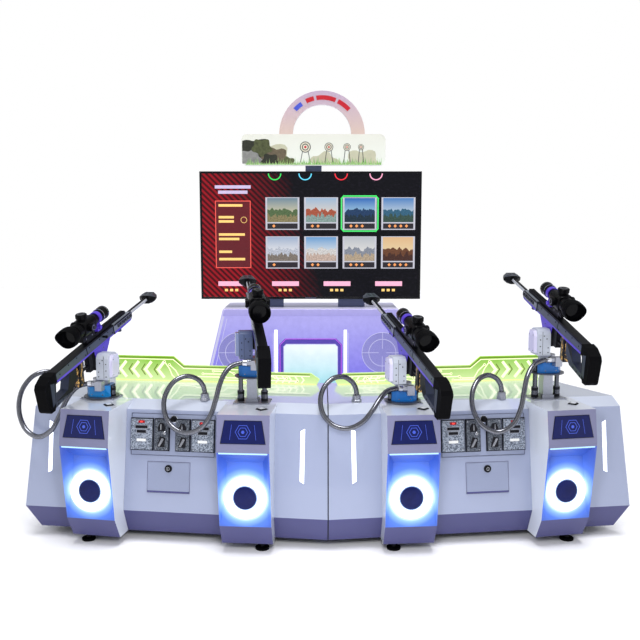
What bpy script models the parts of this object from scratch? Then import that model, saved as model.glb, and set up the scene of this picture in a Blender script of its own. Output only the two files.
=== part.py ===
"""Four-seat rifle gallery: two angled gun cabinets in front of a screen tower.

Metres, +Z up, front towards -Y. The origin is on the floor in the middle of the plan.
"""
import math

import bmesh
import bpy
from mathutils import Matrix, Vector

# Clearances
GAP = 0.0003
SLIDE_GAP = 0.0006
FIT_GAP = 0.0008

# Plan of the two cabinets, which meet in a shallow chevron
SEAM_Y = -0.6599
CABINET_ANGLE = 7.5
PILLAR_TWIST = 3.0

# Cabinet section, from the floor line at the seam
CABINET_LENGTH = 1.245
CABINET_DEPTH = 0.52
CABINET_WALL = 0.016
KICK_BOTTOM_Z = 0.034
KICK_TOP_Z = 0.137
FACE_TOP_Z = 0.555
CABINET_TOP_Z = 0.585
KICK_OUT = 0.045
FACE_LEAN = 0.065
TOP_CHAMFER = 0.07
END_LEAN = 0.030
END_TAPER = 19.0

# Pillars, as distances in front of the cabinet's floor line
PILLAR_INNER = 0.325
PILLAR_END = 0.285
PILLAR_OUTER = CABINET_LENGTH - PILLAR_END
PILLAR_WIDTH = 0.210
PILLAR_WALL = 0.015
PILLAR_FOOT_OUT = 0.078
PILLAR_KICK_OUT = 0.125
PILLAR_LEDGE_OUT = 0.165
PILLAR_TOP_OUT = 0.144
PILLAR_KICK_Z = 0.123
PILLAR_LEDGE_Z = 0.437
PILLAR_LEDGE_THICK = 0.016
PILLAR_BACK = 0.085
RECESS_RIM = 0.006
RECESS_SLANT = 0.028
RECESS_DEEP_OUT = 0.112
RECESS_DEEP_Z = 0.385
RING_Z = 0.242
RING_R = 0.085
RING_THICK = 0.010
SPEAKER_R = 0.049
SPEAKER_BASKET_R = 0.044
SPEAKER_DEPTH = 0.045
SPEAKER_FLANGE = 0.006

# Start button on each pillar top
BUTTON_CORNERS = 0.046
BUTTON_X = 0.058
BUTTON_Y = -0.045
BUTTON_PROUD = 0.006
BUTTON_HEIGHT = 0.020

# Gun lift
LIFT_Y = 0.090
LIFT_TRAVEL = 0.105
BASE_PLATE = 0.004
BASE_WIDTH = 0.150
BASE_DEPTH = 0.100
ROD_R = 0.010
ROD_SPACING = 0.100
ROD_BELOW = 0.10
SLEEVE_R = 0.0145
SLEEVE_HEIGHT = 0.045
COLUMN = 0.042
COLUMN_GUIDE_WALL = 0.005
COLUMN_GUIDE_HEIGHT = 0.012
DISC_R = 0.074
DISC_THICK = 0.005
TURRET_WIDTH = 0.105
TURRET_DEPTH = 0.085
TURRET_HEIGHT = 0.048
TURRET_CORNER = 0.018
REST_GAP = 0.001

# Hose and its fittings
HOSE_R = 0.012
HOSE_BORE_R = 0.0065
HOSE_LEAD = 0.005
HOSE_RIBS = 26
HOSE_BORE_POINTS = 24
HOSE_RIB_SHRINK = 0.88
GLAND_R = 0.0125
GLAND_HEIGHT = 0.030
GLAND_Y = 0.105
FITTING_Y = -0.058
FITTING_DEPTH = 0.032
FITTING_RISE = 0.0118
FITTING_RIGHT = 0.035
FITTING_LEFT = 0.005
FITTING_END = -0.030

# Yoke and rifle
TURNTABLE_R = 0.036
TURNTABLE_HEIGHT = 0.026
NECK_DEPTH = 0.090
NECK_HEIGHT = 0.113
NECK_WIDTH = 0.055
NECK_COVER = 0.014
NECK_GAP = 0.002
PIVOT_RISE = 0.064
PIN_R = 0.007
PIN_HEAD_R = 0.013
PIN_HEAD = 0.005
PIN_GAP = 0.0008
RIFLE_X = 0.016
RIFLE_WIDTH = 0.036
PIVOT_S = 0.405
BORE_ABOVE_PIVOT = 0.100
BARREL_R = 0.009
BRACKET_WIDTH = 0.030
NECK_RIGHT = RIFLE_X - BRACKET_WIDTH / 2 - NECK_GAP
NECK_LEFT = NECK_RIGHT - NECK_WIDTH
SCOPE_RISE = 0.092
TRIGGER_S = 0.288
TRIGGER_H = -0.024
TRIGGER_WIDTH = 0.008
RAIL_TOP = 0.034

# Coin panels and cash doors on the leaning front faces
COIN_PANEL_SHIFT = 0.0075
COIN_PANEL_U = (PILLAR_INNER + PILLAR_OUTER) / 2 + COIN_PANEL_SHIFT
COIN_SIDE_GAP = 0.0325
COIN_PANEL_WIDTH = PILLAR_OUTER - PILLAR_INNER - PILLAR_WIDTH - 2 * COIN_SIDE_GAP
COIN_PANEL_HEIGHT = 0.177
COIN_PANEL_Z = 0.4545
COIN_PANEL_THICK = 0.006
COIN_MODULE_HEIGHT = 0.127
COIN_MODULE_DEPTH = 0.014
COIN_MODULE_RIM = 0.003
COIN_MODULE_GAP = 0.011
ACCEPTOR_WIDTH = 0.058
ACCEPTOR_X = 0.045
ACCEPTOR_EDGE = ACCEPTOR_X + ACCEPTOR_WIDTH / 2
COIN_MODULE_WIDTH = COIN_PANEL_WIDTH / 2 - COIN_MODULE_RIM - COIN_MODULE_GAP - ACCEPTOR_EDGE
COIN_MODULE_X = ACCEPTOR_EDGE + COIN_MODULE_GAP + COIN_MODULE_WIDTH / 2
CASH_DOOR_SHIFT = 0.016
CASH_DOOR_U = COIN_PANEL_U + CASH_DOOR_SHIFT
CASH_DOOR_WIDTH = 0.180
CASH_DOOR_HEIGHT = 0.126
CASH_DOOR_Z = 0.279
CASH_DOOR_THICK = 0.004

# Upright signs along the back of the cabinet tops
SIGN_Y = 0.465
SIGN_THICK = 0.008
SIGN_INNER = 0.110
SIGN_END = 0.165
SIGN_OUTER = CABINET_LENGTH - SIGN_END
SIGN_TALL_RUN = 0.290
SIGN_STEP = SIGN_OUTER - SIGN_TALL_RUN
SIGN_STEP_RUN = 0.050
SIGN_LOW = 0.055
SIGN_MIDDLE = 0.079
SIGN_TALL = 0.120
SIGN_LOW_STEP = PILLAR_INNER + 0.120

# Base frames with levelling feet
BAR_WIDTH = 0.040
BAR_THICK = 0.006
BAR_INNER_SHIFT = 0.058
BAR_OUTER_SHIFT = 0.055
BAR_INNER = PILLAR_INNER - BAR_INNER_SHIFT
BAR_OUTER = PILLAR_OUTER + BAR_OUTER_SHIFT
BAR_FRONT = -0.055
BAR_BACK = 0.500
RAIL_FRONT = 0.100
RAIL_REAR = 0.420
RAIL_HEIGHT = 0.030
FOOT_R = 0.029
FOOT_PAD = 0.010
FOOT_STEM_R = 0.008
FOOT_INSET = 0.015

# Screen tower
TOWER_X = -0.085
TOWER_FRONT = 1.250
TOWER_DEPTH = 0.360
TOWER_HEIGHT = 0.855
TOWER_TOP_HALF = 0.487
TOWER_BOTTOM_HALF = 0.700
TOWER_WALL = 0.018
DOOR_HOLE_WIDTH = 0.600
DOOR_HOLE_HEIGHT = 0.480
DOOR_LAP = 0.020
DOOR_THICK = 0.012
COMPUTER_WIDTH = 0.180
COMPUTER_DEPTH = 0.260
COMPUTER_HEIGHT = 0.400
TV_WIDTH = 1.232
TV_HEIGHT = 0.709
TV_FRONT = 1.330
TV_ABOVE_TOWER = 0.048
TV_BOTTOM_Z = TOWER_HEIGHT + TV_ABOVE_TOWER
TV_THICK = 0.035
TV_BEZEL = 0.012
TV_SCREEN_RECESS = 0.002
TV_BUMP_WIDTH = 0.260
TV_BUMP_RISE = 0.100
TV_BUMP_CLEAR = 0.030
TV_BUMP_DEPTH = 0.030
POST_X = 0.230
POST_WIDTH = 0.150
POST_THICK = 0.030
POST_RISE = 0.557
POST_TOP_Z = TV_BOTTOM_Z + POST_RISE
CROSSBAR_HEIGHT = 0.060
MARQUEE_POST_WIDTH = 0.090
MARQUEE_POST_RISE = 0.116
MARQUEE_X = 0.016
MARQUEE_WIDTH = 0.795
MARQUEE_PLATE = 0.170
MARQUEE_ABOVE_TV = 0.032
MARQUEE_Z = TV_BOTTOM_Z + TV_HEIGHT + MARQUEE_ABOVE_TV
MARQUEE_POST_TOP_Z = MARQUEE_Z + MARQUEE_POST_RISE
MARQUEE_THICK = 0.030
MARQUEE_CORNER = 0.030
ARCH_X = 0.063
ARCH_OUTER_R = 0.236
ARCH_INNER_R = 0.161

# Each station: number, side, place along the cabinet, twist sign, raised, yaw and pitch at rest
STATIONS = (
    (1, -1, PILLAR_OUTER, 1, False, -1.5, 13.5),
    (2, -1, PILLAR_INNER, -1, True, 13.1, 11.7),
    (3, 1, PILLAR_INNER, -1, False, 8.2, 13.7),
    (4, 1, PILLAR_OUTER, 1, True, -5.7, 12.4),
)
SIDES = ((-1, "left"), (1, "right"))

# How far each lift stands to the right of its pillar's middle
LIFT_SHIFT = {1: -0.038, 2: 0.0, 3: 0.0, 4: 0.0}

# The side of its neck that each rifle hangs on
HAND = {1: -1, 2: 1, 3: 1, 4: 1}

# Where each hose leaves the cabinet top, measured to the left of its station
GLAND_OFFSET = {1: 0.215, 2: 0.207, 3: 0.194, 4: 0.194}

# Hose routes between gland and fitting, in the station's own frame
HOSE_ROUTES = {
    1: (
        (-0.222, 0.102, 0.648), (-0.244, 0.092, 0.676), (-0.284, 0.070, 0.692),
        (-0.327, 0.037, 0.676), (-0.355, 0.002, 0.629), (-0.358, -0.028, 0.571),
        (-0.339, -0.053, 0.514), (-0.298, -0.074, 0.466), (-0.238, -0.086, 0.447),
        (-0.182, -0.085, 0.478), (-0.155, -0.066, 0.534), (-0.142, -0.039, 0.583),
        (-0.129, -0.009, 0.620), (-0.109, 0.017, 0.644),
    ),
    2: (
        (-0.214, 0.102, 0.649), (-0.237, 0.092, 0.679), (-0.280, 0.071, 0.693),
        (-0.326, 0.040, 0.672), (-0.352, 0.005, 0.619), (-0.345, -0.028, 0.560),
        (-0.308, -0.057, 0.511), (-0.247, -0.078, 0.490), (-0.183, -0.086, 0.513),
        (-0.143, -0.080, 0.567), (-0.124, -0.061, 0.631), (-0.113, -0.035, 0.684),
        (-0.098, -0.006, 0.724), (-0.074, 0.019, 0.749),
    ),
    3: (
        (-0.199, 0.103, 0.646), (-0.217, 0.096, 0.674), (-0.252, 0.081, 0.697),
        (-0.299, 0.057, 0.695), (-0.339, 0.027, 0.662), (-0.355, -0.004, 0.614),
        (-0.344, -0.036, 0.564), (-0.305, -0.064, 0.528), (-0.249, -0.081, 0.520),
        (-0.194, -0.081, 0.544), (-0.153, -0.063, 0.584), (-0.123, -0.035, 0.618),
        (-0.097, -0.005, 0.640), (-0.070, 0.019, 0.651),
    ),
    4: (
        (-0.202, 0.102, 0.650), (-0.228, 0.094, 0.679), (-0.274, 0.075, 0.695),
        (-0.326, 0.046, 0.680), (-0.363, 0.010, 0.633), (-0.370, -0.025, 0.572),
        (-0.343, -0.057, 0.516), (-0.283, -0.080, 0.491), (-0.222, -0.084, 0.522),
        (-0.186, -0.072, 0.581), (-0.163, -0.049, 0.644), (-0.141, -0.023, 0.695),
        (-0.111, 0.003, 0.731), (-0.077, 0.022, 0.751),
    ),
}

# Values worked out from the sizes above
PILLAR_TOP_Z = CABINET_TOP_Z
FACE_ANGLE = math.atan2(FACE_LEAN, FACE_TOP_Z - KICK_TOP_Z)
PLATE_LOW_Z = CABINET_TOP_Z + GAP + BASE_PLATE + REST_GAP
TURRET_TOP = DISC_THICK + TURRET_HEIGHT
ROUND_SEGMENTS = 12
RING_SEGMENTS = 24
OVERLAP = 0.002
THROUGH = 0.01


def clear_scene():
    for item in list(bpy.data.objects):
        bpy.data.objects.remove(item, do_unlink=True)


def new_object(name, mesh):
    item = bpy.data.objects.new(name, mesh)
    bpy.context.scene.collection.objects.link(item)
    return item


def from_bmesh(name, bm):
    bmesh.ops.recalc_face_normals(bm, faces=bm.faces)
    mesh = bpy.data.meshes.new(name)
    bm.to_mesh(mesh)
    bm.free()
    return new_object(name, mesh)


def block(low, high, name="block"):
    """A box between two corners."""
    bm = bmesh.new()
    bmesh.ops.create_cube(bm, size=1.0)
    low = Vector(low)
    high = Vector(high)
    size = high - low
    bmesh.ops.scale(bm, vec=size, verts=bm.verts)
    bmesh.ops.translate(bm, vec=(low + high) / 2, verts=bm.verts)
    return from_bmesh(name, bm)


def loft(levels, name="loft"):
    """A closed solid through outlines that have as many points each."""
    bm = bmesh.new()
    rows = [[bm.verts.new(point) for point in level] for level in levels]
    count = len(rows[0])
    for lower, upper in zip(rows, rows[1:]):
        for index in range(count):
            after = (index + 1) % count
            bm.faces.new((lower[index], lower[after], upper[after], upper[index]))
    bm.faces.new(rows[0])
    bm.faces.new(rows[-1])
    return from_bmesh(name, bm)


def side_plate(outline, low_x, high_x, name="plate"):
    """An outline of (y, z) points extruded across, along X."""
    return loft([[(x, y, z) for y, z in outline] for x in (low_x, high_x)], name)


def front_plate(outline, low_y, high_y, name="plate"):
    """An outline of (x, z) points extruded back, along Y."""
    return loft([[(x, y, z) for x, z in outline] for y in (low_y, high_y)], name)


def floor_plate(outline, low_z, high_z, name="plate"):
    """An outline of (x, y) points extruded up, along Z."""
    return loft([[(x, y, z) for x, y in outline] for z in (low_z, high_z)], name)


def turned(profile, segments=ROUND_SEGMENTS, name="turned"):
    """A solid of revolution about Z through (radius, height) points, closed at both ends."""
    levels = []
    for radius, height in profile:
        level = []
        for step in range(segments):
            angle = 2 * math.pi * (step + 0.5) / segments
            level.append((radius * math.cos(angle), radius * math.sin(angle), height))
        levels.append(level)
    return loft(levels, name)


def rod(radius, low_z, high_z, segments=ROUND_SEGMENTS, name="rod"):
    return turned([(radius, low_z), (radius, high_z)], segments, name)


def hull(points, name="hull"):
    bm = bmesh.new()
    for point in points:
        bm.verts.new(point)
    bmesh.ops.convex_hull(bm, input=bm.verts)
    return from_bmesh(name, bm)


def moved(item, offset):
    item.data.transform(Matrix.Translation(Vector(offset)))
    return item


def turned_to(item, matrix):
    item.data.transform(matrix)
    return item


def combine(target, tool, operation):
    """Applies a Boolean and removes the tool."""
    modifier = target.modifiers.new(operation.lower(), "BOOLEAN")
    modifier.operation = operation
    modifier.solver = "EXACT"
    modifier.object = tool
    depsgraph = bpy.context.evaluated_depsgraph_get()
    mesh = bpy.data.meshes.new_from_object(target.evaluated_get(depsgraph))
    target.modifiers.remove(modifier)
    old = target.data
    target.data = mesh
    bpy.data.meshes.remove(old)
    tool_mesh = tool.data
    bpy.data.objects.remove(tool)
    bpy.data.meshes.remove(tool_mesh)
    return target


def cut(target, *tools):
    for tool in tools:
        combine(target, tool, "DIFFERENCE")
    return target


def join(target, *tools):
    for tool in tools:
        combine(target, tool, "UNION")
    return target


def finish(item, name, parent, colour, roughness=0.5, metallic=0.0, location=(0, 0, 0), smooth=None):
    """Names a sub-part, places it under its frame and gives it its own material."""
    item.name = name
    item.data.name = name
    item.parent = parent
    item.location = location
    material = bpy.data.materials.new(name)
    material.use_nodes = True
    shader = material.node_tree.nodes["Principled BSDF"]
    shader.inputs["Base Color"].default_value = (*colour, 1.0)
    shader.inputs["Roughness"].default_value = roughness
    shader.inputs["Metallic"].default_value = metallic
    item.data.materials.clear()
    item.data.materials.append(material)
    if smooth:
        item.data.shade_smooth()
        item.data.set_sharp_from_angle(angle=math.radians(smooth))
    return item


def frame(name, parent=None, location=(0, 0, 0), turn=(0, 0, 0)):
    """An empty that carries pieces: turn is in degrees about X, Y and Z."""
    empty = bpy.data.objects.new(name, None)
    bpy.context.scene.collection.objects.link(empty)
    empty.parent = parent
    empty.location = location
    empty.rotation_euler = [math.radians(value) for value in turn]
    return empty


def matrix_of(location, turn_z):
    return Matrix.Translation(Vector(location)) @ Matrix.Rotation(math.radians(turn_z), 4, "Z")


# Colours
LILAC_WHITE = (0.80, 0.81, 0.90)
BLACK = (0.02, 0.02, 0.025)
STEEL = (0.62, 0.63, 0.66)
GREY = (0.35, 0.36, 0.39)
TURRET_BLUE = (0.02, 0.16, 0.45)
LIGHT = (0.92, 0.96, 1.0)
DARK_BLUE = (0.02, 0.04, 0.20)
GUNMETAL = (0.09, 0.10, 0.13)
LIME = (0.45, 0.80, 0.10)


def cabinet_level(side, front, end, inset, z):
    """One level of the cabinet's plan: front line, tapered outer end, back and seam side."""
    slope = math.tan(math.radians(CABINET_ANGLE))
    taper = math.radians(END_TAPER)
    seam_shift = (GAP / 2 + inset) / math.cos(math.radians(CABINET_ANGLE))
    near = front + inset
    far = CABINET_DEPTH - inset
    end_near = end - inset / math.cos(taper) - inset * math.tan(taper)
    end_far = end_near - (far - near) * math.tan(taper)
    plan = (
        (near * slope + seam_shift, near),
        (end_near, near),
        (end_far, far),
        (far * slope + seam_shift, far),
    )
    return [(side * u, v, z) for u, v in plan]


def cabinet_envelope(side, inset, low_z, high_drop, name="envelope"):
    """The cabinet's outer form, or with an inset its inner one."""
    face_out = FACE_LEAN - KICK_OUT
    end_top = CABINET_LENGTH + KICK_OUT - END_LEAN
    levels = (
        (low_z, 0.0, CABINET_LENGTH),
        (KICK_TOP_Z, -KICK_OUT, CABINET_LENGTH + KICK_OUT),
        (FACE_TOP_Z - high_drop / 2, face_out, end_top),
        (CABINET_TOP_Z - high_drop, face_out + TOP_CHAMFER, end_top),
    )
    return loft([cabinet_level(side, front, end, inset, z) for z, front, end in levels], name)


def face_y(z):
    """How far back the leaning front face is at a height."""
    return -KICK_OUT + (z - KICK_TOP_Z) * math.tan(FACE_ANGLE)


def station_place(side, place, twist):
    """A station's matrix in its cabinet's frame."""
    return matrix_of((side * place, 0, 0), side * twist * PILLAR_TWIST)


def lift_holes(number, station):
    """Cutters for the rods and the column through the cabinet's and the pillar's top."""
    low = FACE_TOP_Z - 2 * CABINET_WALL
    high = CABINET_TOP_Z + THROUGH
    half = COLUMN / 2 + COLUMN_GUIDE_WALL / 2
    tools = [block((-half, LIFT_Y - half, low), (half, LIFT_Y + half, high))]
    for sign in (-1, 1):
        hole = rod(ROD_R + COLUMN_GUIDE_WALL / 2, low, high)
        tools.append(moved(hole, (sign * ROD_SPACING / 2, LIFT_Y, 0)))
    shift = Matrix.Translation((LIFT_SHIFT[number], 0, 0))
    return [turned_to(tool, station @ shift) for tool in tools]


def face_matrix(side, u, z):
    """Frame on the leaning face: X along it, Y into the cabinet, Z up it."""
    place = Matrix.Translation((side * u, face_y(z), z))
    return place @ Matrix.Rotation(-FACE_ANGLE, 4, "X")


def make_cabinet(side, word, parent):
    body = cabinet_envelope(side, 0.0, KICK_BOTTOM_Z, 0.0)
    cut(body, cabinet_envelope(side, CABINET_WALL, KICK_BOTTOM_Z - THROUGH, CABINET_WALL))
    for number, own_side, place, twist, *_ in STATIONS:
        if own_side != side:
            continue
        station = station_place(side, place, twist)
        cut(body, *lift_holes(number, station))
        gland = turned([(GLAND_R, CABINET_TOP_Z - OVERLAP), (GLAND_R, CABINET_TOP_Z + GLAND_HEIGHT)], 8)
        moved(gland, (-GLAND_OFFSET[number], GLAND_Y, 0))
        join(body, turned_to(gland, station))
    half_width = CASH_DOOR_WIDTH / 2 + FIT_GAP
    half_height = CASH_DOOR_HEIGHT / 2 + FIT_GAP
    depth = CABINET_WALL + THROUGH
    hole = block((-half_width, -depth, -half_height), (half_width, depth, half_height))
    cut(body, turned_to(hole, face_matrix(side, CASH_DOOR_U, CASH_DOOR_Z)))
    return finish(body, "cabinet_" + word, parent, LILAC_WHITE, 0.25)


def make_base_frame(side, word, parent):
    top = KICK_BOTTOM_Z - GAP
    low = top - BAR_THICK
    inner = CABINET_DEPTH * math.tan(math.radians(CABINET_ANGLE)) + 2 * CABINET_WALL
    outer = CABINET_LENGTH - CABINET_DEPTH * math.tan(math.radians(END_TAPER)) - 2 * CABINET_WALL
    rails = [
        block((inner, y - BAR_WIDTH / 2, low), (outer, y + BAR_WIDTH / 2, low + RAIL_HEIGHT))
        for y in (RAIL_FRONT, RAIL_REAR)
    ]
    body = rails[0]
    for place in (BAR_INNER, BAR_OUTER):
        join(body, block((place - BAR_WIDTH / 2, BAR_FRONT, low), (place + BAR_WIDTH / 2, BAR_BACK, top)))
    join(body, rails[1])
    profile = (
        (FOOT_R, 0),
        (FOOT_R, FOOT_PAD),
        (FOOT_STEM_R, FOOT_PAD + OVERLAP),
        (FOOT_STEM_R, low + OVERLAP),
    )
    for place in (BAR_INNER, BAR_OUTER):
        for y in (BAR_FRONT + FOOT_INSET, BAR_BACK - FOOT_INSET):
            join(body, moved(turned(profile), (place, y, 0)))
    turned_to(body, Matrix.Scale(side, 4, Vector((1, 0, 0))))
    if side < 0:
        body.data.flip_normals()
    return finish(body, "base_frame_" + word, parent, BLACK, 0.4, 0.6)


def make_coin_panel(side, word, parent):
    half_width = COIN_PANEL_WIDTH / 2
    half_height = COIN_PANEL_HEIGHT / 2
    front = -GAP - COIN_PANEL_THICK
    body = block((-half_width, front, -half_height), (half_width, -GAP, half_height))
    modules = ((COIN_MODULE_X, COIN_MODULE_WIDTH), (ACCEPTOR_X, ACCEPTOR_WIDTH))
    low = -COIN_MODULE_HEIGHT / 2
    for centre, width in [(sign * x, width) for x, width in modules for sign in (-1, 1)]:
        size = width / 2
        module = block((centre - size, front - COIN_MODULE_DEPTH, low),
                       (centre + size, front + OVERLAP, low + COIN_MODULE_HEIGHT))
        join(body, module)
    turned_to(body, face_matrix(side, COIN_PANEL_U, COIN_PANEL_Z))
    return finish(body, "coin_panel_" + word, parent, GREY, 0.4, 0.7)


def make_cash_door(side, word, parent):
    half = CASH_DOOR_THICK / 2
    width = CASH_DOOR_WIDTH / 2
    body = block((-width, 0, 0), (width, CASH_DOOR_THICK, CASH_DOOR_HEIGHT))
    item = finish(body, "cash_door_" + word, parent, LILAC_WHITE, 0.35)
    hinge = face_matrix(side, CASH_DOOR_U, CASH_DOOR_Z)
    item.location = hinge @ Vector((0, -half, -CASH_DOOR_HEIGHT / 2))
    item.rotation_euler = hinge.to_euler()
    return item


def make_sign(side, word, parent):
    high = SIGN_TALL
    low = SIGN_LOW
    outline = (
        (SIGN_INNER, 0),
        (SIGN_OUTER, 0),
        (SIGN_OUTER, high),
        (SIGN_STEP, high),
        (SIGN_STEP - SIGN_STEP_RUN, SIGN_MIDDLE),
        (SIGN_LOW_STEP, SIGN_MIDDLE),
        (SIGN_LOW_STEP - SIGN_STEP_RUN / 2, low),
        (SIGN_INNER + low / 2, low),
        (SIGN_INNER - low / 4, low / 2),
    )
    points = [(side * u, z + CABINET_TOP_Z + GAP) for u, z in outline]
    body = front_plate(points, SIGN_Y, SIGN_Y + SIGN_THICK)
    return finish(body, "sign_" + word, parent, LIME, 0.15)


def diamond(reach, z):
    """Corners of a square that stands on its corner, as the start buttons do."""
    return [(0, -reach, z), (reach, 0, z), (0, reach, z), (-reach, 0, z)]


def panel_matrix():
    """Frame on the ring panel: Z points out of the pillar's front."""
    bottom_out, bottom_z = recess_bottom()
    share = (RING_Z - bottom_z) / (RECESS_DEEP_Z - bottom_z)
    y = -bottom_out + share * (bottom_out - RECESS_DEEP_OUT)
    lean = math.atan2(bottom_out - RECESS_DEEP_OUT, RECESS_DEEP_Z - bottom_z)
    return Matrix.Translation((0, y, RING_Z)) @ Matrix.Rotation(math.pi / 2 - lean, 4, "X")


def recess_bottom():
    """Where the ring panel runs out at the pillar's front, just above the kick."""
    rise = RECESS_RIM
    share = rise / (PILLAR_LEDGE_Z - PILLAR_KICK_Z)
    out = PILLAR_KICK_OUT + share * (PILLAR_LEDGE_OUT - PILLAR_KICK_OUT)
    return out, PILLAR_KICK_Z + rise


def make_pillar(number, side, place, twist, parent):
    half = PILLAR_WIDTH / 2
    outline = (
        (-PILLAR_FOOT_OUT, KICK_BOTTOM_Z),
        (-PILLAR_KICK_OUT, PILLAR_KICK_Z),
        (-PILLAR_LEDGE_OUT, PILLAR_LEDGE_Z),
        (-PILLAR_LEDGE_OUT, PILLAR_LEDGE_Z + PILLAR_LEDGE_THICK),
        (-PILLAR_TOP_OUT, PILLAR_TOP_Z),
        (PILLAR_BACK, PILLAR_TOP_Z),
        (PILLAR_BACK, KICK_BOTTOM_Z),
    )
    body = side_plate(outline, -half, half)
    inner = RECESS_DEEP_OUT - PILLAR_WALL
    foot = PILLAR_FOOT_OUT - PILLAR_WALL
    top = PILLAR_TOP_Z - PILLAR_WALL
    hollow = (
        (-foot, KICK_BOTTOM_Z - THROUGH),
        (-foot, KICK_BOTTOM_Z + PILLAR_WALL),
        (-inner, PILLAR_KICK_Z + PILLAR_WALL),
        (-inner, top),
        (PILLAR_BACK + THROUGH, top),
        (PILLAR_BACK + THROUGH, KICK_BOTTOM_Z - THROUGH),
    )
    cut(body, side_plate(hollow, PILLAR_WALL - half, half - PILLAR_WALL))
    rim = half - RECESS_RIM
    deep = rim - RECESS_SLANT
    bottom_out, bottom_z = recess_bottom()
    ahead = -PILLAR_LEDGE_OUT - 5 * THROUGH
    points = []
    for sign in (-1, 1):
        points += [
            (sign * rim, -PILLAR_LEDGE_OUT, PILLAR_LEDGE_Z),
            (sign * rim, ahead, PILLAR_LEDGE_Z),
            (sign * rim, -bottom_out, bottom_z),
            (sign * rim, ahead, bottom_z),
            (sign * deep, -RECESS_DEEP_OUT, RECESS_DEEP_Z),
        ]
    cut(body, hull(points))
    speaker_hole = rod(SPEAKER_BASKET_R + FIT_GAP, -PILLAR_WALL * 4, THROUGH)
    cut(body, turned_to(speaker_hole, panel_matrix()))
    reach = BUTTON_CORNERS / 2 + 1.5 * FIT_GAP
    button_hole = loft([diamond(reach, top - THROUGH), diamond(reach, PILLAR_TOP_Z + THROUGH)])
    cut(body, moved(button_hole, (BUTTON_X, BUTTON_Y, 0)))
    cut(body, *lift_holes(number, Matrix.Identity(4)))
    envelope = cabinet_envelope(side, -GAP, KICK_BOTTOM_Z - THROUGH, -GAP)
    cut(body, turned_to(envelope, station_place(side, place, twist).inverted()))
    return finish(body, "pillar_%d" % number, parent, LILAC_WHITE, 0.25)


def make_ring(number, parent):
    inner = SPEAKER_R + FIT_GAP
    edge = RING_THICK / 4
    outer = turned([(RING_R, GAP), (RING_R, RING_THICK - edge), (RING_R - edge, RING_THICK)], RING_SEGMENTS)
    cut(outer, rod(inner, -THROUGH, RING_THICK + THROUGH, RING_SEGMENTS))
    turned_to(outer, panel_matrix())
    return finish(outer, "ring_light_%d" % number, parent, LIGHT, 0.2, smooth=40)


def make_speaker(number, parent):
    basket = SPEAKER_BASKET_R
    profile = (
        (basket * 0.6, -SPEAKER_DEPTH),
        (basket, -SPEAKER_DEPTH / 3),
        (basket, GAP),
        (SPEAKER_R, GAP),
        (SPEAKER_R, SPEAKER_FLANGE),
        (basket, SPEAKER_FLANGE),
        (basket * 0.4, SPEAKER_FLANGE / 2),
    )
    body = turned_to(turned(profile, ROUND_SEGMENTS), panel_matrix())
    return finish(body, "speaker_%d" % number, parent, DARK_BLUE, 0.2, smooth=40)


def make_button(number, parent):
    edge = BUTTON_PROUD / 3
    low = PILLAR_TOP_Z + BUTTON_PROUD - BUTTON_HEIGHT
    high = PILLAR_TOP_Z + BUTTON_PROUD
    levels = []
    for inset, z in ((0, low), (0, high - edge), (edge, high)):
        levels.append(diamond(BUTTON_CORNERS / 2 - inset, z))
    body = moved(loft(levels), (0, 0, -PILLAR_TOP_Z))
    return finish(body, "start_button_%d" % number, parent, LIGHT, 0.3,
                  location=(BUTTON_X, BUTTON_Y, PILLAR_TOP_Z))


def make_lift_base(number, parent):
    """Base plate with two guide sleeves and the column's guide, seated on the cabinet top."""
    low = CABINET_TOP_Z + GAP
    top = low + BASE_PLATE
    width = BASE_WIDTH / 2
    depth = BASE_DEPTH / 2
    body = block((-width, -depth, low), (width, depth, top))
    guide = COLUMN / 2 + SLIDE_GAP + COLUMN_GUIDE_WALL
    join(body, block((-guide, -guide, low + BASE_PLATE / 2), (guide, guide, top + COLUMN_GUIDE_HEIGHT)))
    for sign in (-1, 1):
        sleeve = rod(SLEEVE_R, low + BASE_PLATE / 2, top + SLEEVE_HEIGHT)
        join(body, moved(sleeve, (sign * ROD_SPACING / 2, 0, 0)))
    for sign in (-1, 1):
        bore = rod(ROD_R + SLIDE_GAP, low - THROUGH, top + SLEEVE_HEIGHT + THROUGH)
        cut(body, moved(bore, (sign * ROD_SPACING / 2, 0, 0)))
    hole = COLUMN / 2 + SLIDE_GAP
    cut(body, block((-hole, -hole, low - THROUGH), (hole, hole, top + COLUMN_GUIDE_HEIGHT + THROUGH)))
    return finish(body, "lift_base_%d" % number, parent, STEEL, 0.3, 0.9, (LIFT_SHIFT[number], LIFT_Y, 0), 40)


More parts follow.
